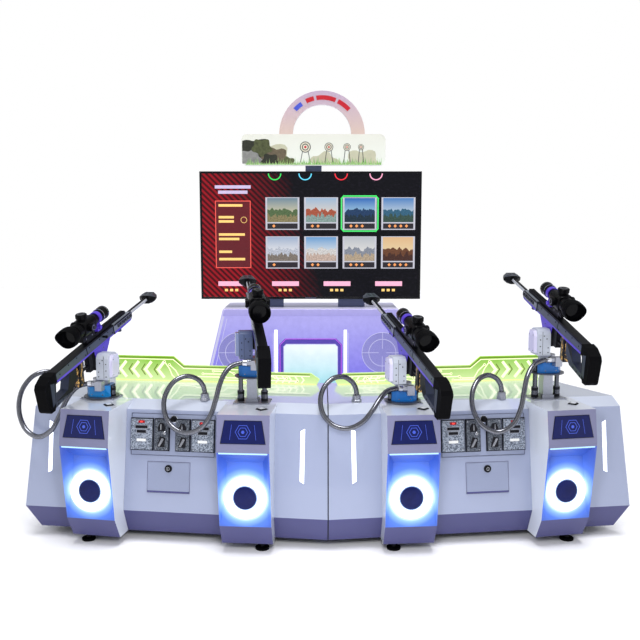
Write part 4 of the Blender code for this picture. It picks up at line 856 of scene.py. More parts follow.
def make_stage():
    """White backdrop, pale floor, soft key from above, two fills and a lamp in front."""
    scene = bpy.context.scene
    scene.view_settings.view_transform = "Standard"
    world = bpy.data.worlds.new("studio")
    world.use_nodes = True
    tree = world.node_tree
    soft = tree.nodes["Background"]
    soft.inputs["Color"].default_value = (0.94, 0.96, 1.0, 1.0)
    soft.inputs["Strength"].default_value = AMBIENT
    backdrop = tree.nodes.new("ShaderNodeBackground")
    backdrop.inputs["Color"].default_value = (1.0, 1.0, 1.0, 1.0)
    rays = tree.nodes.new("ShaderNodeLightPath")
    mix = tree.nodes.new("ShaderNodeMixShader")
    tree.links.new(rays.outputs["Is Camera Ray"], mix.inputs["Fac"])
    tree.links.new(soft.outputs["Background"], mix.inputs[1])
    tree.links.new(backdrop.outputs["Background"], mix.inputs[2])
    tree.links.new(mix.outputs["Shader"], tree.nodes["World Output"].inputs["Surface"])
    scene.world = world
    piece = Piece("floor")
    reach = FLOOR_REACH
    piece.quad(((-reach, -reach, 0), (reach, -reach, 0), (reach, reach, 0), (-reach, reach, 0)),
               surface("pale_floor", rgb(250, 250, 252), 0.7, vary=0.01, grain=30, bump=0.0))
    piece.finish(None)
    for name, strength, spread, way in SUNS:
        sun = bpy.data.lights.new(name, "SUN")
        sun.energy = strength
        sun.angle = math.radians(spread)
        aim(name, sun, way)
    panel = bpy.data.lights.new("front_lamp", "AREA")
    panel.energy = LAMP_WATTS
    panel.size = LAMP_SIZE
    front = aim("front_lamp", panel, LAMP_WAY)
    front.location = LAMP_PLACE
    front.visible_camera = False
    front.visible_glossy = False


# Hoses

RIB_PITCH = 0.0045
RIB_SHARE = 0.9
HOSE_SIDES = 18
HOSE_SMOOTH = 80
ROUTE_STEPS = 24


def smooth_route(points, count):
    """Evenly spaced points on a smooth curve through the route, and the curve's length."""
    dense = []
    padded = [points[0]] + list(points) + [points[-1]]
    for before, start, end, after in zip(padded, padded[1:], padded[2:], padded[3:]):
        for step in range(ROUTE_STEPS):
            t = step / ROUTE_STEPS
            dense.append(0.5 * (2 * start + (end - before) * t
                                + (2 * before - 5 * start + 4 * end - after) * t ** 2
                                + (3 * start - before - 3 * end + after) * t ** 3))
    dense.append(points[-1])
    lengths = [0.0]
    for start, end in zip(dense, dense[1:]):
        lengths.append(lengths[-1] + (end - start).length)
    result = []
    index = 0
    for step in range(count):
        target = lengths[-1] * step / (count - 1)
        while index < len(dense) - 2 and lengths[index + 1] < target:
            index += 1
        span = lengths[index + 1] - lengths[index]
        share = (target - lengths[index]) / span if span else 0.0
        result.append(dense[index].lerp(dense[index + 1], share))
    return result, lengths[-1]


def hose_path(station):
    """The hose's middle line in the station's frame, straight at both ends, and its length."""
    number = station.number
    gland = Vector((-GLAND_OFFSET[number], GLAND_Y, CABINET_TOP_Z + GLAND_HEIGHT + GAP))
    lift = PLATE_LOW_Z + (LIFT_TRAVEL if station.raised else 0)
    fitting_x = LIFT_SHIFT[number] + FITTING_END - GAP
    fitting = Vector((fitting_x, LIFT_Y + FITTING_Y, lift + TURRET_TOP + FITTING_RISE))
    lower = gland + Vector((0, 0, HOSE_LEAD))
    upper = fitting - Vector((HOSE_LEAD, 0, 0))
    points = [lower] + [Vector(point) for point in HOSE_ROUTES[number]] + [upper]
    run = smooth_route(points, 2)[1]
    middle = smooth_route(points, 2 * int(run / RIB_PITCH))[0]
    rings = int(2 * HOSE_LEAD / RIB_PITCH)
    path = [gland.lerp(lower, step / rings) for step in range(rings)] + middle
    path += [upper.lerp(fitting, (step + 1) / rings) for step in range(rings)]
    return path, run + 2 * HOSE_LEAD


def make_hose(station):
    """Convoluted steel hose on the same route as its solid."""
    number = station.number
    path, length = hose_path(station)
    piece = Piece("hose_%d_skin" % number)
    rows = []
    normal = Vector((0, 1, 0))
    for index, place in enumerate(path):
        ahead = path[min(index + 1, len(path) - 1)] - path[max(index - 1, 0)]
        ahead.normalize()
        normal = (normal - ahead * normal.dot(ahead)).normalized()
        across = ahead.cross(normal)
        radius = HOSE_SKIN_R if index % 2 else HOSE_SKIN_R * RIB_SHARE
        row = []
        for step in range(HOSE_SIDES):
            angle = 2 * math.pi * step / HOSE_SIDES
            row.append(place + (normal * math.cos(angle) + across * math.sin(angle)) * radius)
        rows.append(row)
    piece.loft(rows, HOSE, station.base)
    item = piece.finish(None, ("hose_%d" % number,), HOSE_SMOOTH)
    station.body("lift")
    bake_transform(item)
    make_hose_ends(station)


GLAND_BORE = GLAND_R + 0.0002
SLEEVE_TOP = 0.0182


def make_hose_ends(station):
    """The hose's gland on the cabinet and its fitting on the lift."""
    number = station.number
    ends = Piece("hose_gland_%d" % number)
    foot = station.base @ shift(-GLAND_OFFSET[number], GLAND_Y, CABINET_TOP_Z)
    nut = ((GLAND_BORE, 0.0004), (0.0215, 0.0004), (0.0215, 0.009), (0.0195, 0.011), (GLAND_BORE, 0.011))
    ends.ring(nut, ZINC, foot, 6)
    collar = ((GLAND_BORE, 0.0112), (0.018, 0.0112), (0.018, 0.026), (0.016, 0.0295),
              (GLAND_BORE, 0.0295))
    ends.ring(collar, ZINC, foot, 32)
    ends.finish(ROOT)
    cap = Piece("hose_fitting_%d" % number)
    joint = station.lift @ shift(FITTING_END, FITTING_Y, TURRET_TOP + FITTING_RISE) @ turn(90, "Y")
    sleeve = ((GLAND_BORE, 0.001), (0.0138, 0.001), (0.0138, 0.016), (0.0132, 0.018), (GLAND_BORE, 0.018))
    cap.ring(sleeve, CHROME, joint, 32)
    lock_nut = [(radius, height + SLEEVE_TOP) for radius, height in sleeve[:4]]
    cap.ring(lock_nut + [(GLAND_BORE, 0.033)], ZINC, joint, 6)
    cap.finish(station.body("lift"))


# Cabinets

# Each light strip: place along the front, low and high end, width, slant, and the side that slants
LIGHT_STRIPS = ((1.185, 0.28, 0.498, 0.017, 0.009, 1), (0.105, 0.276, 0.497, 0.018, 0.01, -1))
STRIP_PROUD = 0.0016
FOOT_PAD_Z = 0.0115
SEAM_HALF = 0.0022


def make_cabinet(side, word):
    """Painted shell with light strips in the wing and beside the seam, and the base; lighter tops as painted
    light, shaded fronts, and a lilac kick darkened further as painted shade.
    """
    matrix = cabinet_matrix(side)

    def rule(place, facing):
        if place.z > CABINET_TOP_Z + 0.0008:
            return ZINC
        if facing.z > 0.3:
            # tops take the lighter copy of the paint: painted light from above
            return LIT_TOP_GLOSS
        # kick below its line: lilac darkened as painted shade
        return KICK if place.z < KICK_TOP_Z else WHITE

    def base_rule(place, facing):
        return RUBBER if place.z < FOOT_PAD_Z else BLACK_STEEL

    dressed("cabinet_" + word, ROOT, rule, matrix, 0.004)
    piece = Piece("light_strips_" + word)
    for u, low, high, width, slant, out in LIGHT_STRIPS:
        reach = (high - low) / 2 / math.cos(FACE_ANGLE)
        near = -side * out * width / 2
        far = -near
        outline = [(near, slant - reach), (far, -reach), (far, reach), (near, reach - slant)]
        place = face_matrix(side, u, (low + high) / 2)
        piece.front(outline, -STRIP_PROUD, 0.0, STRIP, place, 0.0005)
        rim = [(x * 1.1, z * 1.006) for x, z in outline]
        piece.front(rim, -0.0006, 0.0002, FRAME_GREY, place)
    piece.finish(ROOT)
    dressed("base_frame_" + word, ROOT, base_rule, matrix, 0.0012)


def make_seam():
    """The dark gap between the two cabinets, over the front and along the top."""
    piece = Piece("seam_strip")
    lean = math.cos(math.radians(CABINET_ANGLE))
    run = ((0.0, KICK_BOTTOM_Z), (-KICK_OUT, KICK_TOP_Z), (FACE_LEAN - KICK_OUT, FACE_TOP_Z),
           (FACE_LEAN - KICK_OUT + 0.07, CABINET_TOP_Z), (CABINET_DEPTH, CABINET_TOP_Z))
    outer = [(y / lean, z) for y, z in run]
    proud = ((-0.0012, 0.0), (-0.0012, 0.0003), (-0.0012, 0.0004), (-0.0004, 0.0012), (-0.002, 0.0012))
    line = [(y + a, z + b) for (y, z), (a, b) in zip(outer, proud)]
    inner = [(y + 0.004, z - 0.003) for y, z in reversed(outer)]
    piece.side(line + inner, SEAM_HALF, SEAM_BLACK, shift(0, SEAM_Y, 0), 0.0)
    piece.finish(ROOT)


# Pillars

PLATE_OUTLINE = ((-0.088, -0.045), (0.088, -0.045), (0.0725, 0.043), (-0.0725, 0.043))
PLATE_FRONT = -0.0021
PLATE_PRINT_THICK = 0.0006
KICK_PAINT_Z = 0.1235
RECESS_HALF = 0.0993
RECESS_RUN = (0.1245, 0.4372)


def make_pillar(station):
    """Painted pillar with the ring's light painted as glow into its recess, lighter sides and top as painted
    light, a foot darkened as painted shade, a navy plate with a six-sided mark, and a lamp under the ledge.
    """
    number = station.number
    plate = station.plate
    painted_glow = painted_recess_glow("recess_paint_%d" % number, station)

    def rule(place, facing):
        inside = abs(place.x) < RECESS_HALF and RECESS_RUN[0] < place.z < RECESS_RUN[1]
        # recess walls near the ring: the ring's light painted as colour and glow
        if inside and place.y < -0.1 and facing.y < 0.35:
            return painted_glow
        # pillar foot takes the kick's lilac, darkened as painted shade
        if place.z < KICK_PAINT_Z:
            return KICK
        if place.z > PILLAR_LEDGE_Z + 0.001 and facing.y < -0.6:
            return FRAME_GREY
        # pillar sides and tops take the lighter copy of the paint: painted light
        return PAINTED_LIT_WHITE if abs(facing.x) > 0.7 or facing.z > 0.8 else WHITE

    dressed("pillar_%d" % number, ROOT, rule, station.base, 0.003)
    piece = Piece("pillar_plate_%d" % number)
    piece.front(PLATE_OUTLINE, -0.0022, 0.0, NAVY, plate, 0.0006)
    rim = [(x * 1.03, z * 1.05) for x, z in PLATE_OUTLINE]
    piece.front(rim, -0.0008, 0.0002, SEAM_BLACK, plate)
    for radius in (0.03, 0.019):
        hexagon = arc((0, 0), radius, 0, 360, 6)
        piece.stroke(hexagon, 0.0022, PLATE_FRONT, NAVY_LINE, plate, PLATE_PRINT_THICK)
    piece.front(arc((0, 0), 0.007, 0, 300, 5), -0.0027, -0.002, NAVY_LINE, plate)
    for sign in (-1, 1):
        line = [(sign * 0.052, -0.03), (sign * 0.045, 0.028)]
        piece.stroke(line, 0.0014, PLATE_FRONT, NAVY_LINE, plate, PLATE_PRINT_THICK)
    piece.finish(ROOT)
    lamp = Piece("ledge_lamp_%d" % number)
    lamp.box((-0.097, -0.1656, 0.4312), (0.097, -0.1575, 0.4374), LEDGE_LAMP, station.base, 0.0012)
    lamp.finish(ROOT)


# Profiles of the ring lamp and the speaker, as (radius, height over the recess)
RING_PROFILE = ((RING_INNER_R, GAP), (RING_R, GAP), (RING_R, 0.007), (0.0842, 0.0088), (0.0824, 0.0098),
                (0.08, 0.01), (0.053, 0.01), (0.051, 0.0094), (RING_INNER_R, 0.0075))
BASKET = ((0.0264, -0.045), (0.044, -0.015), (0.044, 0.0004), (0.049, 0.0004), (0.049, 0.0048),
          (0.0478, 0.006))
SPEAKER_EDGE = ((0.0488, 0.0058), (0.0488, 0.007), (0.0474, 0.0078), (0.0462, 0.007), (0.0462, 0.0058))
SPEAKER_DOME = ((0.0466, 0.0055), (0.0462, 0.0066), (0.04, 0.0079), (0.028, 0.0088), (0.014, 0.0094),
                (0.003, 0.0096))
RING_FACE = 0.0098


def make_ring(station):
    """The lamp ring with its trim line and clips, and the domed speaker inside it."""
    number = station.number
    ring = Piece("ring_lamp_%d" % number)
    ring.ring(RING_PROFILE, LAMP, station.ring, 96)
    ring.finish(ROOT, ("ring_light_%d" % number,))
    trim = Piece("ring_screws_%d" % number)
    trim.ring(band(0.0572, 0.0578, 0.0096, 0.0102), FRAME_GREY, station.ring, 96)
    for index in range(4):
        place = station.ring @ turn(45 + 90 * index, "Z") @ shift(0.0532, 0, RING_FACE)
        trim.box((-0.0022, -0.0011, 0), (0.0022, 0.0011, 0.0009), SEAM_BLACK, place, 0.0003)
    trim.screw(0.0022, station.ring @ shift(0, -0.067, RING_FACE), SEAM_BLACK)
    trim.finish(ROOT)
    speaker = Piece("speaker_cover_%d" % number)
    speaker.turned(BASKET, BLACK_STEEL, station.ring, 64)
    speaker.ring(SPEAKER_EDGE, SPEAKER_RIM, station.ring, 96)
    speaker.turned(SPEAKER_DOME, SPEAKER_BLUE, station.ring, 96)
    speaker.finish(ROOT, ("speaker_%d" % number,))


CAP_SHARE = 0.64


def make_button(station):
    """A lit cap in a black surround, square and set on its corner."""
    number = station.number
    top = station.base @ shift(BUTTON_X, BUTTON_Y, CABINET_TOP_Z)
    reach = BUTTON_CORNERS / 2
    gasket = Piece("button_gasket_%d" % number)
    inner = reach + 0.0012
    outer = reach + 0.0028
    gasket.ring([(inner, 0.0003), (outer, 0.0003), (outer, 0.001), (inner, 0.0014)], SEAM_BLACK, top, 4)
    gasket.finish(ROOT)
    button = Piece("button_cap_%d" % number)
    button.turned(((reach, -0.014), (reach, 0.003), (reach - 0.002, 0.0046)), BLACK_PLASTIC, top, 4)
    cap = reach * CAP_SHARE
    button.turned(((cap, 0.004), (cap, 0.005), (cap - 0.0012, 0.0058)), LAMP_CAP, top, 4)
    button.finish(station.body("button_body"), ("start_button_%d" % number,))


# Lifts and yokes

# Gun 1's turret takes a lighter copy of the blue as painted light.
LIT_TURRET = 1
# Gun 2's neck takes darker copies of casting and cover as painted shade.
SHADED_NECK = 2
COLLAR_HEIGHT = 0.012
UPPER_COLLAR_Z = 0.03
ROD_REACH = 0.0153


def make_lift(station):
    """Base plate with bolts and guide collars, and the carriage with its blue turret box."""
    number = station.number
    # gun 1 takes the lighter copy of the blue: painted light
    blue = PAINTED_LIT_BLUE if number == LIT_TURRET else BLUE

    def base_rule(place, facing):
        return ROD_STEEL if place.z > BASE_TOP_Z + 0.016 else ZINC

    def rule(place, facing):
        if place.z < -0.0002:
            return ROD_STEEL if abs(place.x) > 0.03 else ZINC
        if place.y < -0.0428 and place.z > DISC_THICK + 0.001:
            return ZINC
        if place.z < DISC_THICK + 0.0006:
            return DISC_GREY
        at_rod = abs(abs(place.x) - ROD_SPACING / 2) < ROD_REACH and abs(place.y) < ROD_REACH
        return BLACK_STEEL if at_rod and place.z < 0.0475 else blue

    dressed("lift_base_%d" % number, ROOT, base_rule, station.foot, 0.0008)
    bolts = Piece("lift_bolts_%d" % number)
    for x, y in corners(0.069, 0.044):
        bolts.screw(0.0045, station.foot @ shift(x, y, BASE_TOP_Z), STEEL, 0.55)
    collar = band(SLEEVE_R - 0.001, SLEEVE_R + 0.0003, 0.0, COLLAR_HEIGHT)
    for sign in (-1, 1):
        place = station.foot @ shift(sign * ROD_SPACING / 2, 0, BASE_TOP_Z + 0.0005)
        bolts.ring(collar, BLACK_STEEL, place, 32)
        bolts.ring([(radius, z + UPPER_COLLAR_Z) for radius, z in collar], BLACK_STEEL, place, 32)
    bolts.finish(ROOT)
    dressed("lift_carriage_%d" % number, station.body("lift"), rule, station.lift, 0.0014)
    trim = Piece("turret_trim_%d" % number)
    for x, y in corners(0.04 * 0.8, 0.034):
        trim.screw(0.003, station.lift @ shift(x, y, TURRET_TOP), STEEL)
    for x in (-0.024, 0.024):
        trim.screw(0.0026, outward(station.lift, x, -TURRET_DEPTH / 2, 0.014), STEEL)
    trim.finish(station.body("lift"))


NECK_SCREWS = ((-0.046, 0.04), (-0.046, 0.066), (-0.046, 0.094), (-0.012, 0.04), (-0.012, 0.06),
               (-0.018, 0.098), (-0.03, 0.11))
NECK_SEAM = 0.02
NECK_SEAM_RUN = (0.03, 0.128)


def make_yoke(station):
    """Turntable and cast neck with its cover, screws and seam; gun 2's neck and cover in darker copies as
    painted shade.
    """
    number = station.number
    hand = station.hand
    # gun 2's neck and cover take the darker copies: painted shade
    cast, cover = (SHADE_CAST, SHADE_COVER) if number == SHADED_NECK else (CASTING, COVER)

    def rule(place, facing):
        x = place.x * hand
        if x < NECK_LEFT - 0.0012:
            return cover
        if x > NECK_RIGHT + 0.0008:
            return STEEL
        return ZINC if place.z < TURNTABLE_HEIGHT - 0.0005 else cast

    dressed("gun_yoke_%d" % number, station.body("yoke"), rule, station.yaw, 0.0022)
    trim = Piece("yoke_screws_%d" % number)
    front = -NECK_DEPTH / 2
    for x, z in NECK_SCREWS:
        trim.screw(0.0026, outward(station.yaw, hand * x, front, z), SEAM_BLACK)
    seam_x = hand * (NECK_LEFT + NECK_SEAM)
    trim.slab(seam_x, 0.0006, (front - 0.0004, front + 0.001), NECK_SEAM_RUN, SEAM_BLACK, station.yaw, 0.0)
    for y in (-0.028, 0.028):
        for z in (0.046, 0.112):
            side = sideways(station.yaw, -hand, hand * (NECK_LEFT - NECK_COVER), y * 0.8, z)
            trim.screw(0.0028, side, STEEL)
    trim.finish(station.body("yoke"))


# Rifles: outlines and screws as (from the butt, over the bore)

# Where the materials change
PAD_S = 0.0465
STOCK_S = 0.212
MOUNT_S = 0.358
GUARD_S = 0.5555
RAIL_END_S = 0.705
BARREL_S = 0.7455
BRAKE_S = 0.9525
STOCK_LOW = -0.032
RAIL_LOW = 0.0225
REAR_PLATE = ((0.052, -0.02), (0.304, -0.021), (0.298, 0.011), (0.054, 0.006))
FORE_PLATE = ((0.312, -0.021), (0.552, -0.019), (0.552, 0.012), (0.306, 0.011))
# The violet guard line and stock edge band are painted violet light along the lower edges.
GUARD_LINE = ((0.56, -0.0248), (0.724, -0.0208), (0.734, -0.015), (0.56, -0.015))
GUARD_SHROUD = ((0.56, 0.019), (0.722, 0.019), (0.736, 0.0118), (0.56, 0.01))
STOCK_EDGE = ((0.05, -0.029), (0.204, -0.0308), (0.33, -0.027), (0.552, -0.025), (0.552, -0.02),
              (0.05, -0.0212))
BUTT_CHEEK = ((-0.004, -0.012), (0.024, -0.02), (0.01, -0.096), (-0.01, -0.104))
PLATE_SCREWS = ((0.08, -0.006), (0.15, 0.002), (0.218, 0.003), (0.29, -0.014), (0.33, 0.004),
                (0.42, 0.004), (0.5, 0.005), (0.54, -0.012))
MOUNT_SCREWS = ((0.402, -0.06), (0.45, -0.045), (0.39, -0.11))
STOCK_SCREWS = ((0.04, -0.111), (0.075, -0.109), (0.11, -0.106))
RIFLE_SCREW_R = 0.0034
SLOT_FIRST = 0.6055
SLOT_PITCH = 0.026
SLOT_LENGTH = 0.007
SLOT_HALF = 0.0085
SLOTS = 6
TOOTH_FIRST = 0.337
TOOTH_LAST = 0.69
TOOTH_PITCH = 0.0098
BOLT_KNOB = ((0.0048, 0), (0.0048, 0.014), (0.0062, 0.015), (0.0062, 0.022), (0.0046, 0.0235))
SCOPE_MOUNTS = ((0.3, 0.402), (0.432, 0.462))


def rifle_rule(place, facing):
    """The rifle's material at a place along the bore, (across, from the butt, over the bore); violet on
    undersides and edges is painted light, and the brake's lighter top a painted highlight.
    """
    s, h = place.y, place.z
    if s >= BRAKE_S:
        # brake's top face takes the lighter grey: painted highlight
        return BRAKE_HIGHLIGHT if facing.z > 0.6 else BLACK_PLASTIC
    if s > BARREL_S:
        # barrel: light grey as painted reflection
        return BARREL
    if s < PAD_S and (h > -0.0245 or s < 0.0308 + (h + 0.03) * 0.25):
        return RUBBER
    if h > RAIL_LOW and s < RAIL_END_S:
        return GUN_BLACK
    if s > GUARD_S:
        if h < -0.0268:
            return GUN_SIDE
        if facing.z < -0.5:
            # downward faces take violet: painted LED light
            return PAINTED_VIOLET_LIGHT
        return SEAM_BLACK if abs(facing.y) > 0.9 and s < 0.74 else GUARD_GREY
    if h > STOCK_LOW:
        if facing.z > 0.5:
            return GUN_BLACK
        return PAINTED_VIOLET_LIGHT if facing.z < -0.5 else GUN_SIDE
    if s < STOCK_S:
        return PAINTED_VIOLET_LIGHT if facing.z < -0.4 else GUN_SIDE
    return PAINTED_VIOLET_LIGHT if s > MOUNT_S and abs(facing.x) > 0.5 else GUN_BLACK


def make_rifle(station):
    """The rifle's skin, its side plates, rail, collars and grip, and the trigger."""
    number = station.number
    body = station.body("gun")
    bore = station.bore
    dressed("rifle_%d" % number, body, rifle_rule, bore, 0.0018)
    plates = Piece("rifle_plates_%d" % number)
    half = RIFLE_WIDTH / 2
    screws = ((PLATE_SCREWS, half + 0.001, GUN_BLACK), (MOUNT_SCREWS, 0.015, STEEL),
              (STOCK_SCREWS, half, GUN_BLACK))
    for sign in (-1, 1):
        for outline in (REAR_PLATE, FORE_PLATE):
            plates.side(outline, 0.0006, SLATE, bore, 0.0004, sign * (half + 0.0005))
        for places, reach, material in screws:
            for s, h in places:
                plates.screw(RIFLE_SCREW_R, sideways(bore, sign, sign * reach, s, h), material)
        guard_side = sign * (half * 1.2 + 0.0003)
        # violet guard line: painted light
        plates.side(GUARD_LINE, 0.0006, PAINTED_VIOLET_LIGHT, bore, 0.0003, guard_side)
        plates.side(GUARD_SHROUD, 0.0007, GUN_BLACK, bore, 0.0003, guard_side)
        for index in range(SLOTS):
            start = SLOT_FIRST + SLOT_PITCH * index
            slot = band(start, start + SLOT_LENGTH, -SLOT_HALF, SLOT_HALF)
            plates.side(slot, 0.0008, GUN_BLACK, bore, 0.0004, guard_side)
        plates.side(STOCK_EDGE, 0.0005, PAINTED_VIOLET_LIGHT, bore, 0.0003, sign * (half + 0.0004))
        plates.side(BUTT_CHEEK, 0.0008, GUN_SIDE, bore, 0.0005, sign * (half * 1.3 + 0.0006))
    tooth = TOOTH_FIRST
    while tooth < TOOTH_LAST:
        if not any(start - 0.006 < tooth < end + 0.006 for start, end in SCOPE_MOUNTS):
            outline = [(tooth - 0.0027, RAIL_TOP - 0.001), (tooth + 0.0027, RAIL_TOP - 0.001),
                       (tooth + 0.002, RAIL_TOP + 0.0026), (tooth - 0.002, RAIL_TOP + 0.0026)]
            plates.side(outline, 0.0102, GUN_BLACK, bore, 0.0003)
        tooth += TOOTH_PITCH
    plates.turned(BOLT_KNOB, GUN_BLACK, sideways(bore, 1, half, 0.452, 0.004), 24)
    for s in (0.742, 0.756, 0.9475):
        plates.ring(band(0.0085, 0.0118, 0, 0.006), GUN_BLACK, bore @ shift(0, s, 0) @ turn(-90, "X"), 32)
    plates.box((-0.0046, 0.76, 0.007), (0.0046, 0.948, 0.0122), GUN_BLACK, bore, 0.0008)
    for sign in (-1, 1):
        for s in (0.974, 0.986, 0.998):
            vent = (s - 0.002, s + 0.002)
            plates.slab(sign * 0.011, 0.007, vent, (0.02, 0.0214), SEAM_BLACK, bore, 0.0003)
    plates.finish(body)
    make_grip(station)
    dressed("trigger_%d" % number, station.body("trigger_body"), lambda place, facing: STEEL, bore, 0.0009)


GRIP_TOP = Vector((0, 0.251, -0.03))
GRIP_LOW = Vector((0, 0.238, -0.1295))
GRIP_ROWS = 25
GRIP_SIDES = 24
GRIP_HALF = 0.0158
GRIP_SWELL = 0.0206


def rounded(angle, power):
    """Cosine and sine of a circle pushed out towards a square."""
    x, y = math.cos(angle), math.sin(angle)
    return math.copysign(abs(x) ** power, x), math.copysign(abs(y) ** power, y)


def make_grip(station):
    """Waved pistol grip, lofted down from the receiver."""
    grip = Piece("rifle_grip_%d" % station.number)
    levels = []
    for index in range(GRIP_ROWS):
        share = index / (GRIP_ROWS - 1)
        last = index == GRIP_ROWS - 1
        centre = GRIP_TOP.lerp(GRIP_LOW, share)
        swell = GRIP_SWELL + 0.0012 * math.sin(share * math.pi * 8) + 0.0014 * (share - 0.5)
        if last:
            swell *= 0.86
        level = []
        for step in range(GRIP_SIDES):
            angle = 2 * math.pi * step / GRIP_SIDES
            x = GRIP_HALF * rounded(angle, 0.8)[0]
            y = swell * rounded(angle, 0.85)[1]
            level.append((centre.x + x * (0.9 if last else 1), centre.y + y, centre.z))
        levels.append(level)
    grip.loft(levels, CAMO, station.bore)
    grip.finish(station.body("gun"), (), 50)


# Scopes: profiles as (radius, from the rifle's butt)

SADDLE_RUN = (0.294, 0.394)
SADDLE_HALF = 0.0335
SADDLE_SIDES = 48
KNOB_S = 0.335
KNOBS = ((90, 0.0236, 0.0575), (0, 0.0186, 0.0495), (180, 0.0186, 0.0495))
FLUTES = 24
WING_REACH = 0.018
WING_ANGLE = {1: -50, -1: 230}
CUP_SIDES = 64
TUBE = ((0.0305, 0.246), (0.0305, 0.262), (0.0315, 0.264), (0.0315, 0.29), (0.0305, 0.292),
        (0.0305, 0.392), (0.0296, 0.402), (0.0228, 0.425), (0.0228, 0.455), (0.0286, 0.48),
        (0.029, 0.484), (0.029, 0.518), (0.028, 0.52))
# The eyecup also has a share of the wing's reach at each row
EYECUP = ((0.0302, 0.256, 0), (0.034, 0.246, 0), (0.0408, 0.236, 0), (0.0428, 0.224, 0.2),
          (0.0426, 0.208, 0.6), (0.0412, 0.196, 0.9), (0.0398, 0.19, 1.0), (0.038, 0.19, 1.0),
          (0.0372, 0.2, 0.8), (0.036, 0.214, 0.3), (0.03, 0.222, 0), (0.026, 0.226, 0))
RIDGES = 28


def add_eyecup(piece, station):
    """A rubber cup that reaches back in a wing on the shooter's outer side."""
    wing = math.radians(WING_ANGLE[station.hand])
    rows = []
    for radius, s, stretch in EYECUP:
        row = []
        for step in range(CUP_SIDES):
            angle = 2 * math.pi * step / CUP_SIDES
            lobe = max(0.0, math.cos(angle - wing)) ** 1.5
            back = WING_REACH * stretch * lobe - 0.005 * stretch * (1 - lobe)
            row.append((radius * math.cos(angle), radius * math.sin(angle), s - back))
        rows.append(row)
    piece.loft(rows, RUBBER, station.sight, 0.0, False)


def add_knob(piece, station, spin, radius, reach):
    """A fluted knob with a bright ring on its end."""
    stem = station.bore @ shift(0, KNOB_S, SCOPE_RISE) @ turn(90 - spin, "Y")
    profile = ((radius * 0.85, 0.026), (radius * 0.85, 0.038), (radius, 0.039), (radius, reach - 0.003),
               (radius * 0.86, reach))
    piece.turned(profile, SCOPE_BLACK, stem, 48)
    for index in range(FLUTES):
        low = (radius - 0.0004, -0.0012, 0.0405)
        high = (radius + 0.0003, 0.0012, reach - 0.0036)
        piece.box(low, high, SCOPE_BLACK, stem @ turn(360 / FLUTES * index, "Z"), 0.0003)
    piece.ring(band(radius * 0.5, radius * 0.62, reach - 0.0006, reach + 0.0003), STEEL, stem, 32)


def make_scope(station):
    """The sight: lathed tube with a winged eyecup, a saddle with three knobs, lenses and mounts."""
    number = station.number
    piece = Piece("scope_%d_skin" % number)
    sight = station.sight
    piece.turned(TUBE, SCOPE_BLACK, sight, 64)
    piece.turned(((0.0246, 0.5195), (0.0246, 0.5203)), LENS, sight, 48)
    piece.ring(band(0.0246, 0.0286, 0.519, 0.5206), GUN_BLACK, sight, 48)
    for index in range(RIDGES):
        place = sight @ turn(360 * index / RIDGES, "Z")
        piece.box((0.031, -0.0014, 0.266), (0.0322, 0.0014, 0.288), SCOPE_BLACK, place, 0.0004)
    start, end = SADDLE_RUN
    saddle = []
    for s, share in ((start, 0.92), (start + 0.004, 1.0), (end - 0.004, 1.0), (end, 0.92)):
        level = []
        for step in range(SADDLE_SIDES):
            x, y = rounded(2 * math.pi * step / SADDLE_SIDES, 0.55)
            level.append((SADDLE_HALF * share * x, SADDLE_HALF * share * y, s))
        saddle.append(level)
    piece.loft(saddle, SCOPE_BLACK, sight)
    for s in (0.4725, 0.512):
        piece.ring(band(0.028, 0.0296, s, s + 0.003), CHROME, sight, 64)
    add_eyecup(piece, station)
    piece.turned(((0.0262, 0.225), (0.0262, 0.2256)), LENS, sight, 48)
    for s in (0.252, 0.2545, 0.257):
        piece.ring(band(0.03, 0.0324, s, s + 0.0014), RUBBER, sight, 64)
    for spin, radius, reach in KNOBS:
        add_knob(piece, station, spin, radius, reach)
    low = RAIL_TOP + GAP
    neck = SCOPE_RISE - 0.018
    outline = [(-0.013, low), (0.013, low), (0.013, 0.052), (0.01, 0.062), (0.01, neck),
               (-0.01, neck), (-0.01, 0.062), (-0.013, 0.052)]
    # the front mount, its ring and its nuts are violet: painted light
    for (start, end), material in zip(SCOPE_MOUNTS, (GUN_BLACK, PAINTED_VIOLET_LIGHT)):
        piece.front(outline, start, end, material, station.bore, 0.0008)
        for sign in (-1, 1):
            for along in (-0.25, 0.25):
                s = (start + end) / 2 + along * (end - start)
                piece.screw(0.003, sideways(station.bore, sign, sign * 0.013, s, 0.043), STEEL)
    start, end = SCOPE_MOUNTS[1]
    piece.ring(band(0.0226, 0.0262, start + 0.004, end - 0.004), PAINTED_VIOLET_LIGHT, sight, 64)
    for sign in (-1, 1):
        nut = sideways(station.bore, sign, sign * 0.0128, (start + end) / 2, 0.05)
        piece.turned(((0.0095, 0), (0.0095, 0.006), (0.008, 0.0085)), PAINTED_VIOLET_LIGHT, nut, 24)
    piece.finish(station.body("gun"), ("scope_%d" % number,))


# Coin panels and cash doors

COUNTER_X = 0.131
COUNTER_HALF = 0.046
ACCEPTOR_X = 0.045
ACCEPTOR_HALF = 0.029
MODULE_BACK = 0.004
PANEL_LINE = 0.0018
PANEL_LINE_THICK = 0.0008
LOCK_KNOB = ((0.0135, 0), (0.0135, 0.004), (0.0125, 0.006), (0.0115, 0.016), (0.0085, 0.0195),
             (0.003, 0.0205))
# Outlines on an acceptor as (from its middle, up)
COIN_ENTRY = ((-0.013, 0.016), (0.013, 0.016), (0.016, 0.03), (0.007, 0.049), (-0.007, 0.049),
              (-0.016, 0.03))
COIN_CUP = ((-0.017, -0.05), (0.014, -0.05), (0.017, -0.012), (-0.006, -0.006))
COIN_FLAP = ((-0.014, -0.047), (-0.004, -0.047), (0.013, -0.016), (0.004, -0.012))


